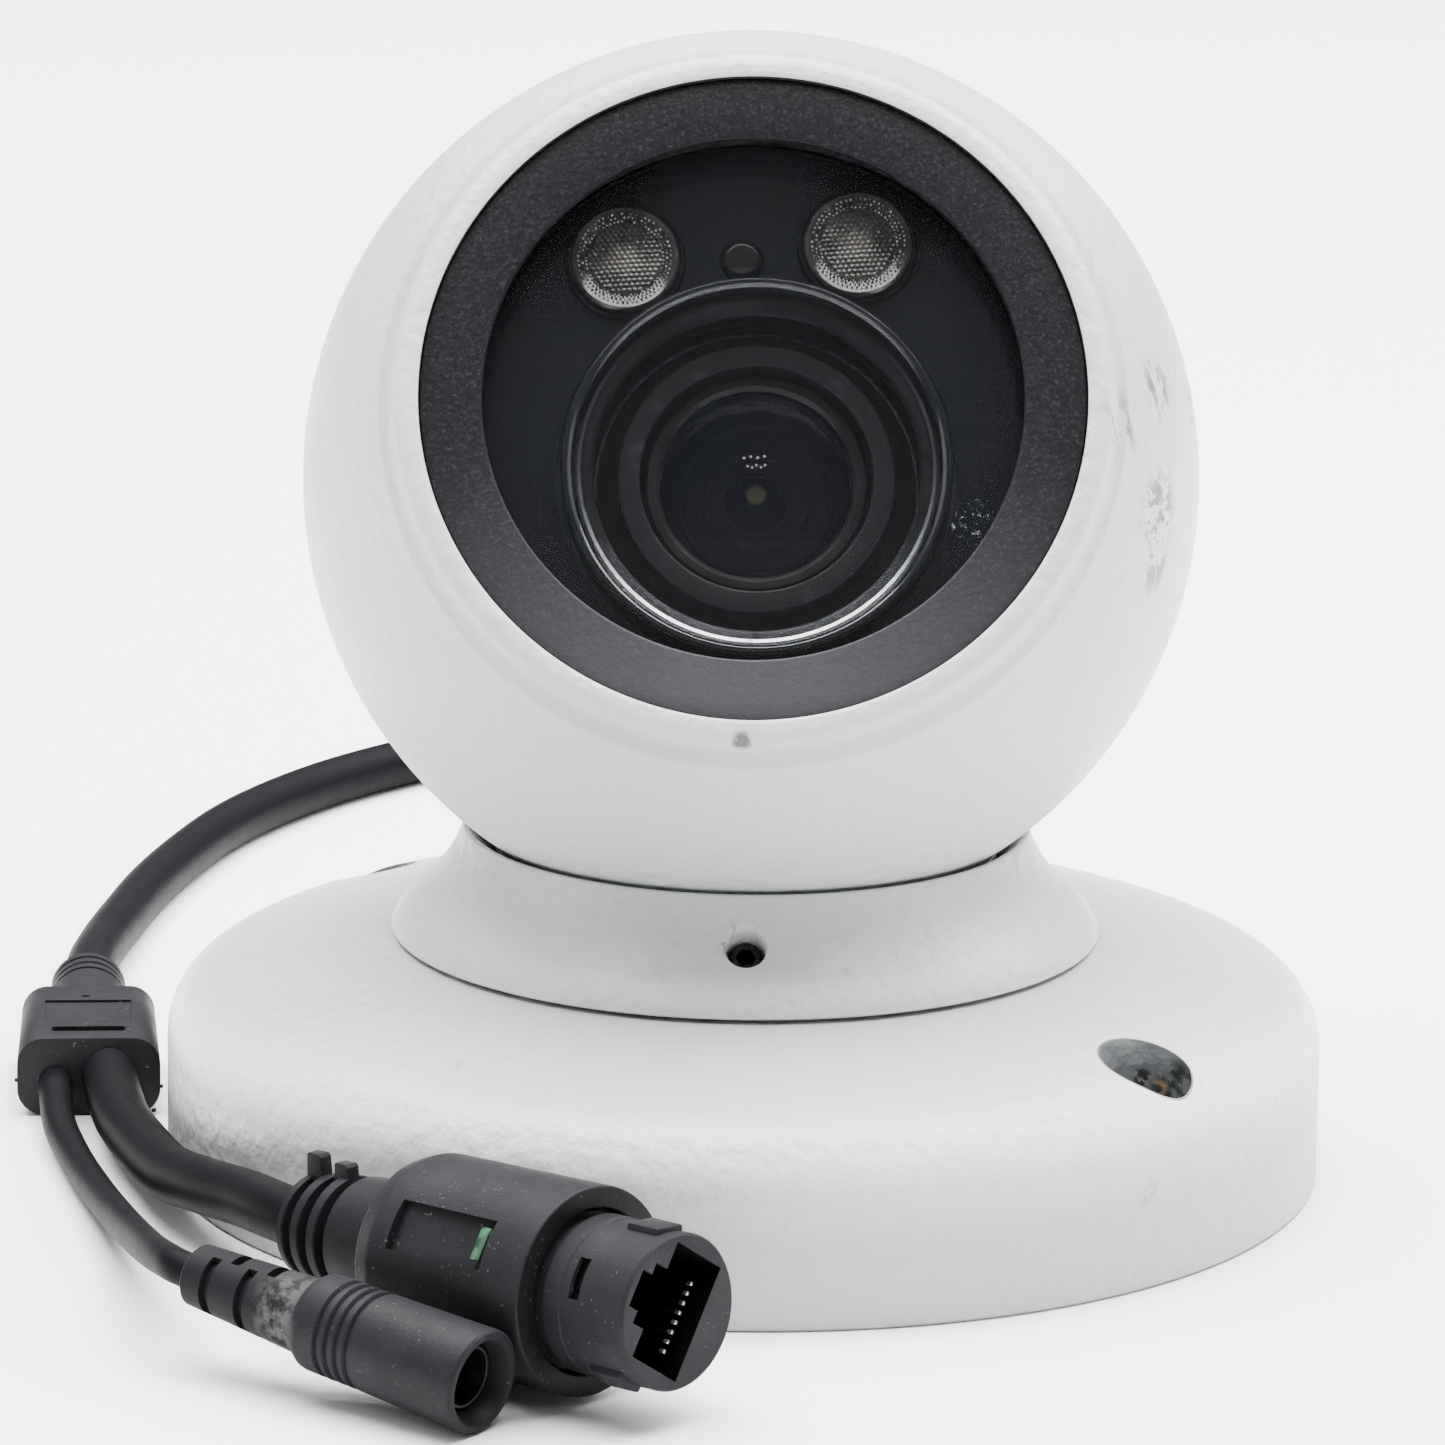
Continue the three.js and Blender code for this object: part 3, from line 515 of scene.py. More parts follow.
def base_shade(look, color):
    """Painted shade on the walls inside the two fixing pockets, with grime and darker painted shade on one
    side of each, painted shade on the lower side and a painted highlight on the rolled shoulder.
    """
    rise = look.height(SCALE)
    # Painted shade: the side is darker towards the bottom.
    color = look.mix(look.step(rise, 8 * MM, 14 * MM, 0.55, 0), color, (0.30, 0.31, 0.30))
    # Painted highlight on the rolled shoulder.
    shoulder = look.times(look.step(rise, 13.5 * MM, 17 * MM), look.step(rise, 18 * MM, 21.5 * MM, 0.7, 0))
    color = look.mix(shoulder, color, (0.82, 0.84, 0.82))
    grime_and_shade = look.patch((420, 5, 0.7), 0.40, 0.56)
    for (x, y), side in zip(POCKETS, (1, -1)):
        # Painted shade on the pocket walls; one side also gets grime and darker painted shade.
        wall = look.within(SCALE @ shifted(x, y, 0), 5.0, 4, 26)
        color = look.mix(wall, color, (0.20, 0.21, 0.215))
        rough = look.near((x + 3.9 * side, y + 2.2 * side, 17), 5.0, 0.62)
        color = look.mix(look.times(wall, look.times(rough, grime_and_shade)), color, (0.035, 0.037, 0.038))
    rust = look.times(look.near((42.6, -31.9, 17.6), 1.2, 0.4), look.patch((900, 3), 0.42, 0.5))
    color = look.mix(rust, color, (0.30, 0.20, 0.10))
    crack = look.times(look.near((40.9, -31.5, 18.6), 1.3, 0.5), look.patch((700, 3), 0.47, 0.52))
    return look.mix(crack, color, (0.03, 0.03, 0.03))


shell_paint = white_paint(
    "white_paint_shell",
    scuffs=[
        (at(BALL, 41.5, 4, 21.3), 4.5, 0.75, (1, 1, 0.5)),
        (at(BALL, 41.7, -8.4, 19.5), 5.5, 0.9, (1, 1, 1.4)),
        (at(BALL, 41.5, -13.4, 17), 4, 0.8, (1, 1, 0.6)),
        (at(BALL, 45.5, 6, 9), 4, 0.6, (1, 1, 1)),
        (at(BALL, 37.3, -1.4, 28.2), 4.5, 0.75, (1, 1, 0.35)),
        (at(BALL, -0.8, -36.2, 30.9), 1.6, 0.9, (1, 1, 1)),
    ],
    stains=[(at(BALL, 4, -44.5, 13), 3, 0.25), (at(BALL, -22, -38, 14), 2.5, 0.2)],
    shade=ball_shade,
)
base_paint = white_paint(
    "white_paint_base",
    scuffs=[((40.9, -36.2, 12), 7.5, 0.8, (1, 1, 1)), ((-40.9, 36.2, 14), 6.5, 0.45, (1, 1, 1))],
    stains=[
        ((-28.4, -43.4, 22.9), 1.5, 0.9), ((41, -45.2, 10.5), 2.2, 0.8), ((34.5, -40.5, 20.3), 2.2, 0.6),
    ],
    shade=base_shade,
)
collar_paint = white_paint("white_paint_collar", scuffs=[((-1.2, -32.6, 33.2), 2.6, 0.9, (1, 1, 0.6))])


def smooth_line(points, per=6):
    """Points of a smooth curve through [r, h] corners."""
    return [(p.x, p.y) for p in catmull([(x, y, 0) for x, y in points], per)]


base_outer = [
    (61, 12.8), (61, 14.4), (60.72, 16.3), (60.05, 17.85), (58.9, 19.35), (57.2, 20.55), (53, 22.05),
    (46, 23.8), (38.4, 25.28),
]
base_outline = [
    (60.6, 0), (61, 0.4), *smooth_line(base_outer), (34, 25.3), (16.2, 25.3), (15.8, 24.9), (15.8, 22.9),
    (30, 22.9), (51, 19.2), (55.6, 16.2), (57.4, 14), (57.8, 12), (57.8, 0.4), (58.1, 0),
]
housing = lathe_mesh(base_outline, 192)
whole = lathe_mesh([(0, 0), (60.6, 0), (61, 0.4), *smooth_line(base_outer), (34, 25.3), (0, 25.3)], 192)
for x, y in POCKETS:
    post = turned_mesh(lathe_mesh([(0, 0), (8.4, 0), (8.4, 26), (0, 26)], 48), shifted(x, y, 0))
    housing = carved(housing, carved(post, whole.copy(), operation="INTERSECT"), operation="UNION")
for x, y in POCKETS:
    pocket = lathe_mesh([(0, 5), (4.5, 5), (4.8, 5.3), (4.8, 30), (0, 30)], 64)
    screw_hole = lathe_mesh([(0, -1), (3.7, -1), (3.7, 0), (3.1, 0.6), (3.1, 6), (0, 6)], 48)
    housing = carved(
        housing, turned_mesh(pocket, shifted(x, y, 0)), turned_mesh(screw_hole, shifted(x, y, 0))
    )
cable_hole = turned_mesh(lathe_mesh([(0, 53), (4.8, 53), (4.8, 65), (0, 65)], 40), EXIT)
cable_hole.transform(SCALE.inverted())
housing = carved(housing, cable_hole)
finish_mesh("base_shell", housing, base_paint, "base", SCALE, "base_housing")

SCREW = shifted(0, -32.2, 32) @ Matrix.Rotation(math.radians(48), 4, "X")
flare = [
    (37.4, 26.0), (37.0, 26.9), (35.5, 28.75), (33.4, 30.65), (31.9, 32.5), (30.9, 34.2), (30.25, 35.6)
]
collar_outline = [
    (37.1, 25.75), (37.35, 25.85), *smooth_line(flare), (29.95, 36.6), (29.8, 36.86), (29.5, 36.95),
    (29.2, 36.8), (28.3, 36.2), (27, 35), (26.8, 34.6), (26.8, 30.4), (20.5, 30.4), (14, 27.6), (5.4, 26.2),
    (5.4, 23.6), (11.6, 23.6), (11.6, 20.4), (15.4, 20.4), (15.4, 25.5), (28, 28.2), (33.6, 26.6),
    (35.2, 25.75),
]
collar = lathe_mesh(collar_outline, 192)
bore = [(0, -11), (2.05, -11), (2.05, -0.6), (2.2, -0.1), (2.55, 0.5), (3.2, 1.4), (3.2, 8), (0, 8)]
screw_bore = turned_mesh(lathe_mesh(bore, 48), SCREW)
finish_mesh("collar_shell", carved(collar, screw_bore), collar_paint, "pan_neck", SCALE, "pan_collar")

steel = smooth_metal("plated_steel", (0.42, 0.43, 0.44), 0.34)
oxide = smooth_metal("black_oxide_steel", (0.035, 0.035, 0.038), 0.45)
set_screw = lathe_mesh([(0, -8.4), (1, -8.4), (1.7, -7.7), (1.7, -2.5), (1.4, -2.2), (0, -2.2)], 40)
hexagon = [on_circle(1.05, 60 * k) for k in range(6)]
set_screw = carved(set_screw, prism_mesh(hexagon, -4.2, 0))
finish_mesh("lock_set_screw", set_screw, oxide, "lock_screw", SCALE @ SCREW, "lock_screw")

nylon = Look("natural_nylon", (0.74, 0.72, 0.66), 0.5, Subsurface_Weight=0.1, Subsurface_Scale=0.002)
nylon.paint(nylon.mix(nylon.noise(120, 4), (0.68, 0.66, 0.6), (0.78, 0.76, 0.7)))
nylon.bump((nylon.noise(800, 2), 0.05))


def seat_top(r):
    return BALL_CENTRE.z - math.sqrt((BALL_R + 0.4) ** 2 - r * r)


seat = rounded(
    [(21.2, 30.7), (26.5, 30.7), (26.5, seat_top(26.5)), (23.8, seat_top(23.8)), (21.2, seat_top(21.2))],
    0.2,
)
lathe("ball_seat_ring", seat, nylon, "pan_neck", SCALE, 128, "seat_ring")

# ---------- ball shells, bezel and window ----------
SEAM = -3
sphere = arc(BALL_R, polar(SEAM, BALL_R) - 0.9, 55.6, 40)
rim = smooth_line(
    [(38.2, 27.25), (37.25, 28.55), (36.75, 29.75), (36.2, 30.75), (35.35, 31.22), (34.3, 31.3)], 5
)
front_outline = [
    (45.45, SEAM + 0.1), (45.7, SEAM), (46.45, SEAM), (46.68, SEAM + 0.12), *sphere, *rim, (34.0, 31.15),
    (33.9, 30.9), (33.9, 28.2), (31, 28.2), (31, 25.4), (28.8, 25.4), (28.8, 24.2),
    *arc(BALL_INNER_R, polar(24.2, BALL_INNER_R), polar(1.6, BALL_INNER_R), 14), (45.45, 1.6),
]
lathe("ball_shell_front", front_outline, shell_paint, "ball", BALL, 224, "ball_front_shell")

rear_outline = [
    (45.15, 0), (BALL_INNER_R, 0), *arc(BALL_INNER_R, 92, 180, 40),
    *arc(BALL_R, 180, polar(SEAM - 0.3, BALL_R) + 0.5, 60), (46.5, SEAM - 0.3), (45.15, SEAM - 0.3),
]
rear = lathe_mesh(rear_outline, 192)


def strip_mesh(inner, outer, half_width, start, end, steps=48, across=16):
    """Part of a spherical shell round the ball's centre. Angles are degrees from straight down, forward."""
    bm = bmesh.new()
    layers = []
    for r in (inner, outer):
        rows = []
        for i in range(steps + 1):
            a = math.radians(start + (end - start) * i / steps)
            row = []
            for k in range(across + 1):
                x = half_width * (2 * k / across - 1)
                reach = math.sqrt(r * r - x * x)
                row.append(bm.verts.new((x, -reach * math.sin(a), -reach * math.cos(a))))
            rows.append(row)
        layers.append(rows)
    for rows in layers:
        for low, high in zip(rows, rows[1:]):
            for k in range(across):
                bm.faces.new((low[k], low[k + 1], high[k + 1], high[k]))
    inner_rows, outer_rows = layers
    for i in range(steps):
        for k in (0, across):
            bm.faces.new((inner_rows[i][k], inner_rows[i + 1][k], outer_rows[i + 1][k], outer_rows[i][k]))
    for row in (0, steps):
        for k in range(across):
            bm.faces.new(
                (inner_rows[row][k], inner_rows[row][k + 1], outer_rows[row][k + 1], outer_rows[row][k])
            )
    return from_bmesh(bm)


SLOT_HALF_W = 5.5
REST_POLAR = 118.2
SLOT_BACK, SLOT_FRONT = REST_POLAR - 180, REST_POLAR - 105


def slot_cutter(start, end):
    """A curved slot with round ends."""
    turns = [Matrix.Rotation(math.pi / 2 + math.radians(90 - a), 4, "X") for a in (start, end)]
    ends = [turned_mesh(disc_mesh(SLOT_HALF_W, 30, 60), turn) for turn in turns]
    return carved(strip_mesh(36, 52, SLOT_HALF_W, start, end), *ends, operation="UNION")


def disc_mesh(r, low, high, turns=48):
    return lathe_mesh(band_outline(0, r, low, high), turns)


slot = turned_mesh(
    slot_cutter(SLOT_BACK, SLOT_FRONT), Matrix.Rotation(-(math.pi / 2 - AXIS_ELEVATION), 4, "X")
)
finish_mesh("ball_shell_rear", carved(rear, slot), shell_paint, "ball", BALL, "ball_rear_shell")

stem_half = math.degrees(math.asin(SLOT_HALF_W / BALL_R))
HALF_TILT = 37.5
shutter_rest = (SLOT_FRONT + SLOT_BACK) / 4
shutter_reach = HALF_TILT + stem_half + 2 + HALF_TILT / 2
NECK = SCALE @ Matrix.Translation(BALL_CENTRE)
shutter = strip_mesh(42.5, 43.5, 11.5, shutter_rest - shutter_reach, shutter_rest + shutter_reach)
shutter = carved(shutter, slot_cutter(shutter_rest - HALF_TILT / 2, shutter_rest + HALF_TILT / 2))
finish_mesh("slot_shutter_strip", shutter, collar_paint, "shutter", NECK, "slot_shutter")

bezel = Look("bezel_matte_black", (0.011, 0.011, 0.0125), 0.45, level=0.12)
DOWN = BALL @ Matrix.Rotation(math.pi / 2, 4, "X")
# Painted reflection: the bezel grows paler towards the bottom.
below = bezel.math("DIVIDE", bezel.height(DOWN), 31 * MM, clamp=True)
paler = bezel.times(below, below)
shade = bezel.mix(paler, (0.0065, 0.0065, 0.0078), (0.040, 0.040, 0.044))
speckle = bezel.patch((2600, 2, 0.7), 0.50, 0.72)
bezel.paint(bezel.mix(bezel.times(speckle, 0.22), shade, (0.06, 0.06, 0.066)))
bezel.rough(bezel.patch((1500, 2), 0.3, 0.7, 0.34, 0.46))
bezel.bump((bezel.noise(1700, 3, 0.7), 0.06))
bezel_outline = rounded(
    [(33.86, 28.5), (33.86, 30.5), (27.5, 30.5), (27.5, 29.3), (31.2, 29.3), (31.2, 28.5)],
    [0.1, 0.2, 0.3, 0.1, 0.1, 0.1],
)
lathe("front_bezel", bezel_outline, bezel, "ball", BALL, 192, "window_bezel")

rubber = black_plastic("soft_rubber", (0.017, 0.017, 0.018), 0.7, 0.15)
gloss = Look("polished_black", (0.006, 0.0065, 0.008), 0.12)
dusty = gloss.times(gloss.step(gloss.cells(700), 0.07, 0.02), gloss.patch((300, 2), 0.54, 0.62))
gloss.paint(gloss.mix(gloss.times(dusty, 0.05), gloss.color, (0.25, 0.25, 0.25)))
gloss.rough(gloss.patch((80, 4), 0.4, 0.8, 0.08, 0.22))

tinted = Look("tinted_window", (0.02, 0.022, 0.024), 0.03, IOR=1.49)
window_place = BALL @ shifted(0, 0, 29)
motes = tinted.times(tinted.step(tinted.cells(260), 0.045, 0.02), tinted.patch((160, 2), 0.5, 0.6))
smudge = tinted.times(
    tinted.patch((1700, 5, 0.75), 0.52, 0.66), tinted.near(at(window_place, 22.4, -12.4), 4.6, 0.2)
)
haze = tinted.patch((45, 3), 0.45, 0.8, 0.0, 0.012)
dust_mask = tinted.math("MAXIMUM", tinted.times(motes, 0.075), tinted.times(smudge, 0.13))
tinted.paint(tinted.mix(tinted.step(dust_mask, 0.05, 0.11), tinted.color, (0.62, 0.63, 0.63)))
tinted.link(
    tinted.math("ADD", tinted.math("ADD", dust_mask, haze), 0.10, clamp=True), tinted.bsdf.inputs["Alpha"]
)
lathe("front_window", band_outline(0, 30.6, 26.8, 29.0, 0.2), tinted, "ball", BALL, 128, "window_glass")

# ---------- camera module behind the window ----------
lens_hole = turned_mesh(disc_mesh(20.5, 10, 40, 96), shifted(0, LENS_Y, 0))
led_holes = [turned_mesh(disc_mesh(6.3, 15, 40, 64), shifted(side * LED[0], LED[1], 0)) for side in (-1, 1)]
eye = turned_mesh(disc_mesh(2.3, 15, 40, 32), shifted(0, SENSOR_Y, 0))
mask = carved(disc_mesh(32, 22.2, 23.6, 128), lens_hole.copy(), *led_holes, eye)
finish_mesh("inner_cover", mask, gloss, "camera_module", MODULE, "inner_mask")

board = Look("green_board", (0.012, 0.07, 0.028), 0.4)
tracks = board.step(board.cells(420, feature="DISTANCE_TO_EDGE"), 0.02, 0.05)
board.paint(board.mix(tracks, (0.03, 0.13, 0.05), (0.012, 0.062, 0.026)))
board.bump((tracks, 0.05))
ir_board = carved(disc_mesh(31.4, 19, 20.4, 96), lens_hole)
finish_mesh("infrared_board_plate", ir_board, board, "camera_module", MODULE, "infrared_board")

led_ring = Look("led_lens_ring", (0.022, 0.022, 0.023), 0.12)
led_ring.paint(led_ring.mix(led_ring.noise(700, 2), (0.010, 0.010, 0.011), (0.03, 0.03, 0.03)))
knurl = Look("led_knurl", (0.6, 0.6, 0.58), 0.25, 0.5)
knurl.paint(knurl.mix(knurl.patch((2200, 2), 0.42, 0.6), (0.012, 0.012, 0.012), (0.52, 0.52, 0.50)))
led_heart = Look("led_lens_heart", (0.17, 0.155, 0.14), 0.24, 0.3)
plain = led_heart.mix(led_heart.patch((300, 2), 0.35, 0.65), (0.015, 0.0135, 0.0115), (0.038, 0.035, 0.030))
centres = [led_heart.near(at(MODULE, side * LED[0], LED[1], 25.1), 2.4, 0.1) for side in (-1, 1)]
led_heart.paint(led_heart.mix(led_heart.math("MAXIMUM", *centres), plain, (0.070, 0.064, 0.054)))
emitter = Look("warm_emitter", (0.62, 0.5, 0.33), 0.4)
emitter.paint(emitter.mix(emitter.noise(2500, 2), (0.5, 0.38, 0.24), (0.72, 0.6, 0.42)))

FACET_PITCH, FIELD_R, BEADS = 0.56, 3.75, 60
FACET_R = 0.57 * FACET_PITCH


def led_lens(side, word):
    """Moulded lens: a knurled bright rim round a field of small hexagonal facets."""
    place = MODULE @ shifted(side * LED[0], LED[1], 0)
    dish = [(4.1, 21.9), (5.6, 21.9), (5.6, 24.9), (5.3, 25.2), (5.0, 25.1), (3.9, 24.8), (3.9, 24.4)]
    lathe(
        f"led_rim_{word}", rounded(dish, 0.1), led_ring, "camera_module", place, 72, f"led_lens_{word}",
        sharp=40,
    )
    bm = bmesh.new()
    for row, (r, h) in enumerate(((4.74, 25.1), (4.34, 25.0), (3.96, 24.92))):
        for k in range(BEADS):
            a = 2 * math.pi * (k + 0.5 * (row % 2)) / BEADS
            bead = shifted(r * math.cos(a), r * math.sin(a), h) @ Matrix.Diagonal((0.14, 0.14, 0.2, 1))
            bmesh.ops.create_icosphere(bm, subdivisions=1, radius=1, matrix=bead)
    finish_mesh(
        f"led_knurl_{word}", from_bmesh(bm), knurl, "camera_module", place, slot="clear_lens", sharp=40
    )
    bm = bmesh.new()
    row_pitch = FACET_PITCH * 0.866
    rows = int(4 / row_pitch) + 1
    for j in range(-rows, rows + 1):
        for i in range(-8, 9):
            x = (i + 0.5 * (j % 2)) * FACET_PITCH
            y = j * row_pitch
            if math.hypot(x, y) > FIELD_R:
                continue
            crown = 25.15 - 0.012 * (x * x + y * y)
            top = bm.verts.new((x, y, crown))
            ring = [bm.verts.new((*on_circle(FACET_R, 30 + 60 * k, x, y), crown - 0.10)) for k in range(6)]
            for k in range(6):
                bm.faces.new((top, ring[k], ring[(k + 1) % 6]))
    bmesh.ops.remove_doubles(bm, verts=bm.verts, dist=0.03)
    mesh = from_bmesh(bm)
    backing = disc_mesh(3.95, 24.0, 24.9, 48)
    finish_mesh(
        f"led_field_{word}", merged(mesh, backing), led_heart, "camera_module", place, slot="clear_lens",
        sharp=12,
    )
    chip = block_mesh(3.5, 3.5, 20.7, 21.5, bevel=0.15)
    finish_mesh(f"led_emitter_{word}", chip, emitter, "camera_module", place, f"led_chip_{word}")
    holder = [(5.75, 20.8), (6.15, 20.8), (6.15, 24.4), (6.0, 24.6), (5.75, 24.4)]
    lathe(f"led_holder_{word}", holder, gloss, "camera_module", place, 72, slot="gloss_black")


led_lens(-1, "left")
led_lens(1, "right")

pill = Look("sensor_window", (0.02, 0.02, 0.022), 0.06, IOR=1.5)
pill.paint(pill.mix(pill.noise(300, 2), (0.004, 0.004, 0.0045), (0.012, 0.012, 0.0125)))
sensor = rounded([(0, 20.7), (1.95, 20.7), (1.95, 24.0), (1.6, 24.45), (0, 24.6)], [0, 0, 0.2, 0.2, 0])
lathe(
    "light_sensor_dome", sensor, pill, "camera_module", MODULE @ shifted(0, SENSOR_Y, 0), 48,
    "light_sensor",
)

anodised = Look("black_anodised", (0.003, 0.003, 0.0035), 0.4, level=0.2)
anodised.rough(anodised.patch((300, 3), 0.3, 0.7, 0.3, 0.45))
anodised.bump((anodised.noise(1500, 2), 0.02))
cell = Look("barrel_with_grey_face", (0.006, 0.006, 0.007), 0.4, level=0.12)
on_face = cell.step(cell.height(LENS), 21.1 * MM, 21.2 * MM)
worn = cell.patch((380, 5, 0.7), 0.56, 0.68)
face = cell.mix(worn, (0.0062, 0.0062, 0.0072), (0.017, 0.017, 0.019))
cell.paint(cell.mix(on_face, (0.003, 0.003, 0.0035), face))
cell.bump((cell.noise(900, 3), 0.03))
bright = Look("bright_bevel", (0.34, 0.35, 0.37), 0.22, 1.0)
nicks = bright.patch((500, 4, 0.7), 0.58, 0.7)
# Painted reflection: the bevel is dark at the top and bright towards the bottom.
low_side = bright.step(bright.height(DOWN), -10 * MM, 22 * MM)
tone = bright.mix(low_side, (0.014, 0.014, 0.015), (0.40, 0.41, 0.43))
bright.paint(bright.mix(bright.times(nicks, 0.8), tone, (0.05, 0.05, 0.055)))
bright.bump((bright.noise(500, 4), 0.03))

shroud = rounded([(18.9, 17.2), (20, 17.2), (20, 26.1), (19.7, 26.4), (19.3, 26.4), (18.9, 26.1)], 0.1, 3)
lathe("lens_shroud_ring", shroud, gloss, "camera_module", LENS, 160, "lens_shroud")
trim = [
    (16.6, 17.2), (18.6, 17.2), (18.6, 24.6), (18.3, 24.8), (17.95, 24.7), (17.3, 23.85), (16.75, 23.3),
    (16.6, 23.0),
]
lathe("lens_bevel_ring", trim, bright, "camera_module", LENS, 160, "lens_trim_ring")
barrel = [
    (9, -6.8), (14.2, -6.8), (14.2, 15.3), (16.4, 15.3), (16.4, 16.8), (14.2, 16.8), (14.2, 21.3),
    (11.9, 21.3), (11.9, -5.2), (9, -5.2),
]
barrel = rounded(barrel, [0.1, 0.1, 0, 0.1, 0.1, 0, 0.25, 0.3, 0, 0.1])
lathe("lens_barrel_tube", barrel, cell, "camera_module", LENS, 160, "lens_barrel")
zoom_cell = rounded(
    [(9.9, 14.8), (11.5, 14.8), (11.5, 19.0), (11.2, 19.3), (10.4, 19.3), (9.9, 18.9)], 0.08
)
lathe("zoom_cell_ring", zoom_cell, anodised, "zoom_group", LENS, 128, "zoom_cell")

glass = Look("coated_lens_glass", (0.004, 0.005, 0.009), 0.02, level=0.06)
tint = glass.mix(glass.patch((60, 2), 0.3, 0.7), (0.003, 0.004, 0.008), (0.008, 0.007, 0.012))
# Painted glints: small pale, less clear dots on the front lens stand in for reflections.
glint_dots = 0.0
for x, y in (
    (-1.1, 2.5), (-0.4, 2.6), (0.3, 2.45), (1.0, 2.55), (-0.8, 1.6), (-0.35, 1.45), (0.1, 1.65),
    (0.55, 1.4), (1.0, 1.6),
):
    dot = glass.near(at(LENS, x, y, 20.2), 0.24, 0.4)
    glint_dots = glass.math("MAXIMUM", dot, glint_dots)
glass.paint(glass.mix(glint_dots, tint, (0.32, 0.32, 0.33)))
glass.link(glass.step(glint_dots, 0, 1, 0.28, 0.6), glass.bsdf.inputs["Alpha"])
front = [
    (0, 15.5), (9.3, 15.5), (9.6, 15.8), (9.6, 18.7),
    *[(9.5 * math.cos(math.radians(a)), 18.8 + 1.5 * math.sin(math.radians(a))) for a in range(6, 90, 7)],
    (0, 20.3),
]
lathe("front_lens_glass", front, glass, "zoom_group", LENS, 96, "front_lens")
baffle = [
    (3.0, 11.0), (11.4, 11.0), (11.4, 11.7), (8.2, 11.7), (8.0, 11.95), (7.4, 11.95), (7.2, 11.7),
    (5.6, 11.7), (5.4, 11.9), (4.9, 11.9), (4.7, 11.7), (3.2, 11.7), (3.0, 11.5),
]
lathe("iris_baffle", baffle, anodised, "camera_module", LENS, 96, "iris_plate")
focus_cell = rounded([(5.1, 3.4), (11.4, 3.4), (11.4, 7.4), (7.0, 7.4), (6.4, 6.6), (5.1, 6.4)], 0.1)
lathe("focus_cell_ring", focus_cell, anodised, "focus_group", LENS, 96, "focus_cell")
amber = Look("rear_lens_glass", (0.05, 0.055, 0.012), 0.1, level=0.1)
# Painted highlight: a bright yellow spot on the rear lens.
spot_highlight = amber.near(at(LENS, 0.2, 2.3, 6.75), 1.3, 0.6)
amber.paint(amber.mix(spot_highlight, (0.004, 0.0045, 0.003), (1.0, 0.96, 0.42)))
rear_lens = [(0, 3.9), (3, 4.0), (4.8, 4.5), (4.8, 6.3), (3.4, 6.6), (1.8, 6.82), (0, 6.9)]
lathe("focus_lens_glass", rear_lens, amber, "focus_group", LENS, 64, "focus_lens")

# ---------- mouldings on the cords ----------
MOULDED_BLACK = (0.0122, 0.0124, 0.0142)
moulding = black_plastic("moulded_black", MOULDED_BLACK, 0.5, 0.4)


def moulded(name, base, dark, pale):
    """Blotched matt black. Returns the look, its colour and its flecks, which are still to be painted."""
    look = Look(name, base, 0.5, level=0.08)
    shade = look.mix(look.patch((90, 4), 0.35, 0.75), dark, pale)
    flecks = look.times(look.patch((2300, 2), 0.66, 0.72), look.patch((420, 2), 0.5, 0.6))
    look.rough(look.patch((160, 3), 0.3, 0.7, 0.44, 0.58))
    look.bump((look.noise(2600, 2), 0.035), (look.noise(300, 2), 0.06))
    return look, shade, look.times(flecks, 0.5)


def end_face_shading(name, place, reach, end=(0.0055, 0.0055, 0.006), tone=1.0):
    """A moulding whose far end face takes the end colour, painted light and shade for that face. reach is
    in millimetres from the origin of place.
    """
    blotches = scaled((0.0112, 0.0114, 0.013), tone), scaled((0.0140, 0.0142, 0.0164), tone)
    look, shade, flecks = moulded(name, (0.02, 0.02, 0.02), *blotches)
    at_end = look.step(look.height(place), (reach - 0.05) * MM, reach * MM)
    look.paint(look.mix(flecks, look.mix(at_end, shade, end), (0.14, 0.14, 0.14)))
    return look


def bored(name, place, radius, length, base=MOULDED_BLACK, deep=(0.0014, 0.0014, 0.0015)):
    """A moulding with painted shade, a darker black, inside a bore that ends at length."""
    look, shade, flecks = moulded(name, base, scaled(base, 0.86), scaled(base, 1.18))
    inside = look.within(place, radius, -100, length - 0.04)
    # Painted shade inside the bore.
    look.paint(look.mix(inside, look.mix(flecks, shade, (0.12, 0.12, 0.12)), deep))
    return look


SOCKET_END = SOCKET_L - 11.6
PORT_BACK = SOCKET_L - 12.5
# Painted shade inside the port and the jack's bore.
nose_look = bored("moulded_black_nose", SOCKET, 7.3, SOCKET_L)
jack_look = bored("moulded_black_jack", JACK, 4.2, JACK_L, (0.0118, 0.012, 0.0136), (0.008, 0.008, 0.0085))
# Painted light and shade on the end faces of the splitter and the socket barrel.
splitter_look = end_face_shading("moulded_black_splitter", SPLITTER, SPLITTER_L, (0.019, 0.019, 0.021), 0.86)
socket_moulding = end_face_shading("moulded_black_socket", SOCKET, SOCKET_END)

bush = [
    (3.1, 55.6), (5.9, 55.6), (5.9, 57.2), (4.5, 57.2), (4.5, 61.4), (5.9, 61.4), (5.9, 62.8), (5.1, 63.4),
    (5.0, 65.0), (4.6, 65.3), (4.6, 66.1), (4.85, 66.4), (4.7, 68.6), (4.35, 68.9), (4.35, 69.7),
    (4.5, 70), (4.2, 73), (3.9, 74.6), (3.5, 75), (3.1, 75),
]
lathe("exit_bush", rounded(bush, 0.15, 3), rubber, "base", EXIT, 64, "cable_bush")

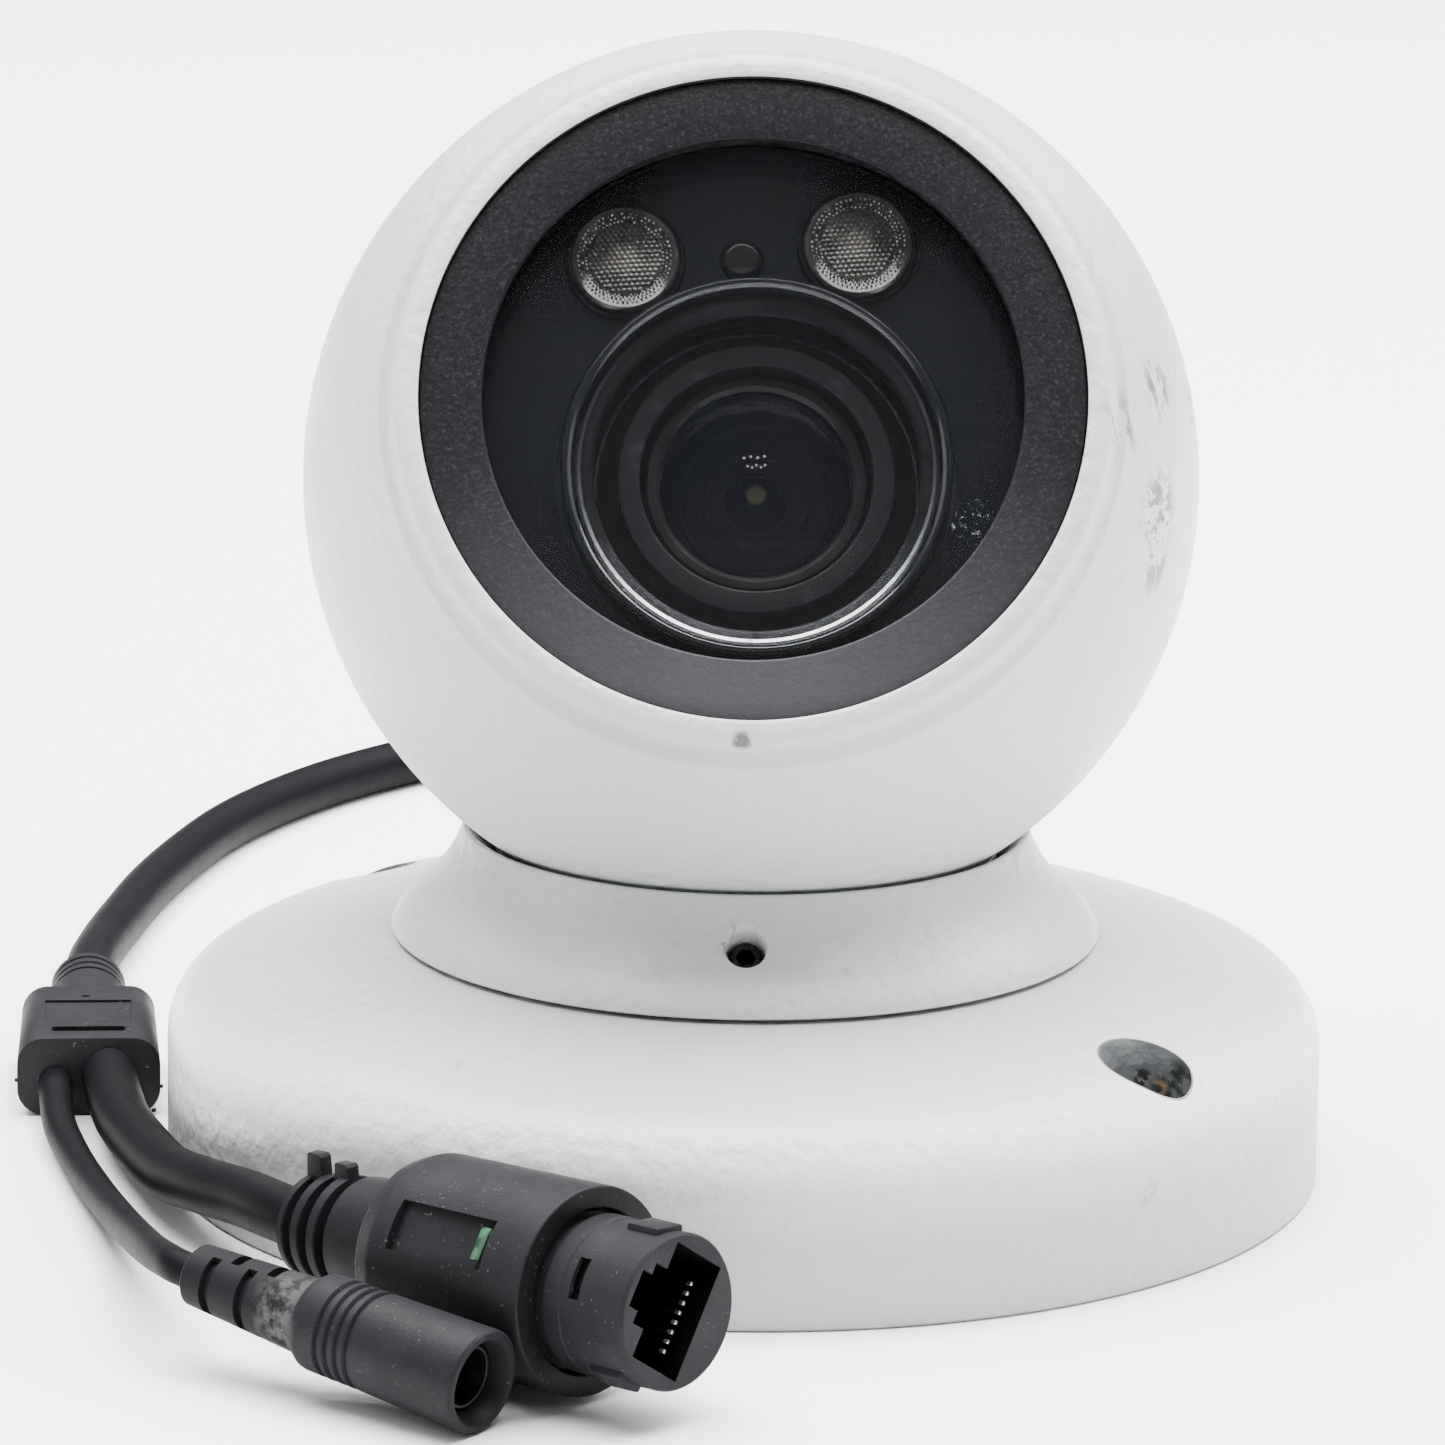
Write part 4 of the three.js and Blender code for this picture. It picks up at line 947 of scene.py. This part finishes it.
neck = [
    (3.1, 0.3), (3.9, 0.3), (4.15, 0.55), (4.15, 1.9), (3.55, 2.0), (3.55, 2.7), (4.2, 2.8), (4.2, 4.3),
    (3.6, 4.4), (3.6, 5.0), (4.25, 5.1), (4.25, 6.6), (3.6, 6.7), (3.6, 7.4), (4.3, 7.5), (4.3, 17),
    (0, 17), (0, 6.2), (3.1, 6.2),
]
NECK_END = 14.8
splitter = lathe_mesh(neck, 96)
splitter_body = prism_mesh(rounded_rect(15.2, 8.6, 2.9, 8), NECK_END, SPLITTER_L, 0.12, 2)
for v in splitter_body.vertices:
    v.co.x *= 0.955 + 0.06 * (v.co.z - NECK_END) / (SPLITTER_L - NECK_END)
label = block_mesh(9.4, 0.72, NECK_END + 5.8, NECK_END + 14.0, 0, 4.4)
slit = block_mesh(7.9, 3.0, NECK_END + 16.3, NECK_END + 18.1, 0, 4.6, 0.5, 3)
dot = turned_mesh(
    disc_mesh(0.42, -1, 1, 24), Matrix.Rotation(-math.pi / 2, 4, "X"), shifted(2.6, 3.5, NECK_END - 1.4)
)
mark = block_mesh(0.9, 0.8, NECK_END + 3.9, NECK_END + 4.5, -0.3, 4.4, 0.1)
splitter_body = carved(splitter_body, label, slit, mark)
splitter = carved(splitter, dot)
flash = [
    block_mesh(0.5, 0.35, SPLITTER_L - 0.5, SPLITTER_L + 0.05, x, y, 0.1)
    for x, y in ((7.75, -1.2), (-7.75, -0.4), (7.0, -3.9))
]
splitter = merged(splitter, splitter_body, *flash)
splitter_piece = finish_mesh(
    "splitter_moulding", splitter, splitter_look, "base", SPLITTER, "cable_splitter", sharp=32
)

# Socket: ribbed strain relief, barrel with its light window, and the bayonet nose with the port.
ribs = [
    (5.1, 0.3), (5.25, 0.45), (5.3, 1.05), (5.2, 1.2), (4.3, 1.25), (4.3, 2.45), (5.4, 2.5), (5.55, 2.65),
    (5.6, 3.55), (5.5, 3.7), (4.4, 3.75), (4.4, 5.05), (5.7, 5.1), (5.85, 5.25), (5.9, 6.25), (5.8, 6.4),
    (4.6, 6.45), (4.6, 7.75), (5.9, 7.8), (6.1, 8.0),
]
relief_outline = [(3.45, 0.3), *ribs, (6.3, 10.5), (6.6, 13.4), (0, 13.4), (0, 5.4), (3.45, 5.4)]
relief = lathe_mesh(relief_outline, 96)
tabs = []
for low, high, top in ((0.4, 2.4, 7.6), (4.3, 6.3, 7.2)):
    side = [
        (low, 4.6), (low + 0.1, top - 0.1), (low + 0.3, top), (high - 0.3, top), (high, top - 0.3),
        (high + 0.2, 4.6),
    ]
    tabs.append(turned_mesh(prism_mesh(side, -0.8, 0.8, 0.12), Matrix.Rotation(-math.pi / 2, 4, "Y")))
relief_piece = finish_mesh(
    "socket_relief", merged(relief, *tabs), moulding, "base", SOCKET, "network_strain_relief", sharp=32
)

LABEL_ANGLE = 57.3
socket_outline = rounded([
    (0, 13.8), (6.9, 13.8), (7.35, 14.2), (9.3, 15.8), (10.2, 18.2), (10.5, SOCKET_END), (8.3, SOCKET_END),
    (8.3, SOCKET_END - 2.4), (0, SOCKET_END - 2.4),
], [0, 0.2, 0.4, 1.5, 2.5, 0.35, 0.2, 0, 0], 5)
socket = lathe_mesh(socket_outline, 160)
recess = turned_mesh(block_mesh(5.2, 2, SOCKET_L - 30.3, SOCKET_L - 17.2, 0, 10.2), spin_z(LABEL_ANGLE))
socket_piece = finish_mesh(
    "socket_barrel", carved(socket, recess), socket_moulding, "base", SOCKET, "network_socket_body",
    sharp=32,
)
green = Look("link_light", (0.02, 0.10, 0.04), 0.25)
streak = green.patch((600, 2), 0.45, 0.6)
green.paint(green.mix(streak, (0.010, 0.036, 0.018), (0.03, 0.105, 0.05)))
light_mesh = turned_mesh(
    block_mesh(3.4, 0.7, SOCKET_L - 18.8, SOCKET_L - 17.6, 0, 9.9, 0.1), spin_z(LABEL_ANGLE)
)
light_piece = finish_mesh("socket_light", light_mesh, green, "base", SOCKET, "link_light_window")

PORT_ROLL = 56.5
nose_start = SOCKET_L - 13.7
nose = [
    (0, nose_start), (7.95, nose_start), (7.95, nose_start + 1.2), (7.3, nose_start + 1.2),
    (7.3, nose_start + 3), (7.95, nose_start + 3), (7.95, nose_start + 5.2), (7.8, nose_start + 5.35),
    (7.8, SOCKET_L - 0.3), (7.55, SOCKET_L), (0, SOCKET_L),
]
nose = lathe_mesh(rounded(nose, [0, 0.2, 0.2, 0.1, 0.1, 0.2, 0.05, 0.05, 0.1, 0.1, 0]), 160)
port_half = [(6, -3.3), (6, 3.7), (3.15, 3.7), (3.15, 5.4), (1.9, 5.4), (1.9, 6.8)]
port_outline = port_half + [(-x, y) for x, y in reversed(port_half)]
port = turned_mesh(prism_mesh(port_outline, PORT_BACK, SOCKET_L + 2), spin_z(PORT_ROLL))
key_slot = turned_mesh(block_mesh(4.2, 2, SOCKET_L - 7.4, SOCKET_L - 6, 0, 7.9), spin_z(61))
lugs = [
    turned_mesh(block_mesh(3.6, 1.6, SOCKET_L - back - 4.2, SOCKET_L - back, 0, 7.5, 0.3), spin_z(a))
    for a, back in ((-4, 1.3), (143, 2), (250, 2))
]
nose = merged(carved(nose, port, key_slot), *lugs)
nose_piece = finish_mesh("socket_nose", nose, nose_look, "base", SOCKET, "network_socket_nose", sharp=32)

gold = Look("gold_contacts", (0.12, 0.10, 0.07), 0.35, 1.0)
tips = gold.step(gold.height(SOCKET), (SOCKET_L - 2.5) * MM, (SOCKET_L - 2.2) * MM)
brass = gold.mix(gold.noise(900, 2), (0.045, 0.036, 0.026), (0.10, 0.085, 0.06))
gold.paint(gold.mix(tips, brass, (0.8, 0.8, 0.78)))
back = PORT_BACK + 0.3
wires = [block_mesh(0.42, 0.42, back + 1, back + 10.4, (i - 3.5) * 1.02, -2.3, 0.08) for i in range(8)]
carrier = block_mesh(10.4, 1.4, back, back + 2.2, 0, -2.3, 0.1)
contacts = turned_mesh(merged(carrier, *wires), spin_z(PORT_ROLL))
contact_piece = finish_mesh("socket_contacts", contacts, gold, "base", SOCKET, "network_contacts")

# Power jack: slotted boot, grooved barrel, spring sleeve and centre pin.
start = 15.4
jack_outline = [(0, start), (4.1, start), (4.5, start + 0.15), (4.85, start + 0.7), (4.95, start + 1.3)]
for k in range(4):
    z = start + 3.3 + 1.25 * k
    jack_outline += [
        (4.97, z), (4.87, z + 0.1), (4.6, z + 0.25), (4.6, z + 0.55), (4.88, z + 0.7), (4.98, z + 0.8)
    ]
jack_outline += [
    (5.3, JACK_L - 0.7), (5.27, JACK_L - 0.3), (5.05, JACK_L - 0.05), (4.75, JACK_L), (4.45, JACK_L - 0.05),
    (4.2, JACK_L - 0.3), (3.55, JACK_L - 2.0), (3.55, JACK_L - 10.5), (0, JACK_L - 10.5),
]
jack_piece = lathe("jack_barrel", jack_outline, jack_look, "base", JACK, 128, "power_jack_body", sharp=25)
sleeve_piece = lathe(
    "jack_sleeve", band_outline(2.85, 3.2, JACK_L - 10.2, JACK_L - 1.9, 0.08), oxide, "base", JACK, 64,
    "power_jack_sleeve",
)
pin = [
    (0, JACK_L - 10.2), (1.05, JACK_L - 10.2), (1.05, JACK_L - 4.2), (0.7, JACK_L - 3.7), (0, JACK_L - 3.6)
]
pin = rounded(pin, [0, 0, 0.3, 0.3, 0])
pin_piece = lathe("jack_pin", pin, steel, "base", JACK, 32, "power_jack_pin")
boot_rubber = Look("jack_boot_rubber", (0.0085, 0.0087, 0.01), 0.6, level=0.08)
dusty_end = boot_rubber.times(
    boot_rubber.patch((700, 5, 0.7), 0.38, 0.62), boot_rubber.near((-43.6, -82.5, 8), 5.5, 0.3)
)
boot_rubber.paint(boot_rubber.mix(boot_rubber.times(dusty_end, 0.6), boot_rubber.color, (0.15, 0.15, 0.15)))
boot_rubber.bump((boot_rubber.noise(1500, 2), 0.04))
boot = lathe_mesh(
    [(2.25, 0.3), (2.9, 0.3), (3.15, 0.55), (3.9, 14.9), (3.8, 15.1), (0, 15.1), (0, 4.6), (2.25, 4.6)], 96
)
BOOT_CUT_R = 5.2
boot_slots = []
for i in range(4):
    spread = (62, 30)[i % 2]
    sector = [on_circle(BOOT_CUT_R, a) for a in range(90 - spread, 91 + spread, 4)]
    inner = 2.5 + 0.12 * i
    sector += [(x / BOOT_CUT_R * inner, y / BOOT_CUT_R * inner) for x, y in reversed(sector)]
    for side in (0, 180):
        turn = spin_z(side + 85 - (i % 2) * 90)
        boot_slots.append(turned_mesh(prism_mesh(sector, 3 + 2.3 * i, 4.15 + 2.3 * i), turn))
boot_piece = finish_mesh(
    "jack_boot", carved(boot, *boot_slots), boot_rubber, "base", JACK, "power_jack_boot", sharp=32
)

# ---------- CAD nodes that stay, with finished materials ----------
aluminium = smooth_metal("machined_aluminium", (0.52, 0.53, 0.54), 0.38, (1, 1, 1), 0.03)
red_glass = Look("infrared_cut_glass", (0.16, 0.03, 0.06), 0.05)
red_glass.paint(red_glass.mix(red_glass.noise(200, 2), (0.12, 0.02, 0.06), (0.20, 0.05, 0.07)))
chip_package = black_plastic("chip_package", (0.012, 0.012, 0.013), 0.4, 0.1)
KEPT = {
    "aluminium": aluminium, "steel": steel, "nylon": nylon, "circuit_board": board, "rubber_black": rubber,
    "anodised": anodised, "chip": chip_package, "cut_filter": red_glass, "cable_jacket": jacket,
}
for node, piece in frame["nodes"].items():
    if slots[node] in KEPT:
        piece.data.materials.clear()
        piece.data.materials.append(KEPT[slots[node]].material)

# ---------- floor and light ----------
table = Look("pale_table", (0.94, 0.945, 0.95), 0.6)
marks = table.times(table.patch((14, 6, 0.7), 0.60, 0.72), 0.06)
table.paint(table.mix(marks, table.color, (0.78, 0.79, 0.79)))
bm = bmesh.new()
path = [(-4.5, 0.0)] + [
    (3.2 + 0.8 * math.sin(math.radians(a)), 0.8 - 0.8 * math.cos(math.radians(a))) for a in range(0, 91, 6)
] + [(4.0, 3.0)]
rows = [[bm.verts.new((x, y, z)) for x in (-4.5, 4.5)] for y, z in path]
for low, high in zip(rows, rows[1:]):
    bm.faces.new((low[0], low[1], high[1], high[0]))
mesh = from_bmesh(bm)
mesh.shade_smooth()
floor = placed("table_sweep", mesh)
mesh.materials.append(table.material)


def area_light(name, place, target, size, watts, color=(1, 1, 1)):
    data = bpy.data.lights.new(name, "AREA")
    data.shape = "RECTANGLE"
    data.size, data.size_y = size
    data.energy = watts
    data.color = color
    light = placed(name, data)
    light.location = place
    light.rotation_euler = (Vector(target) - Vector(place)).to_track_quat("-Z", "Y").to_euler()


area_light("top_softbox", (0, 0.05, 1.0), (0, 0, 0.05), (1.3, 0.9), 66)
area_light("left_softbox", (-0.9, -0.2, 0.6), (0, 0, 0.06), (0.6, 0.7), 3.4)
area_light("right_softbox", (0.9, -0.2, 0.6), (0, 0, 0.06), (0.6, 0.7), 3.0)
area_light("high_right_softbox", (0.75, 0.35, 0.8), (0, 0, 0.08), (0.5, 0.5), 12)
area_light("low_front_strip", (0, -0.36, 0.27), (0, -0.04, 0.09), (0.4, 0.12), 0.1)
area_light("backdrop_light", (0, 0.75, 0.8), (0, 0.95, 0), (1.6, 0.4), 26)
world = bpy.data.worlds.new("studio")
bpy.context.scene.world = world
world.use_nodes = True
background = world.node_tree.nodes["Background"].inputs
background["Color"].default_value = (0.93, 0.95, 1.0, 1)
background["Strength"].default_value = 0.18
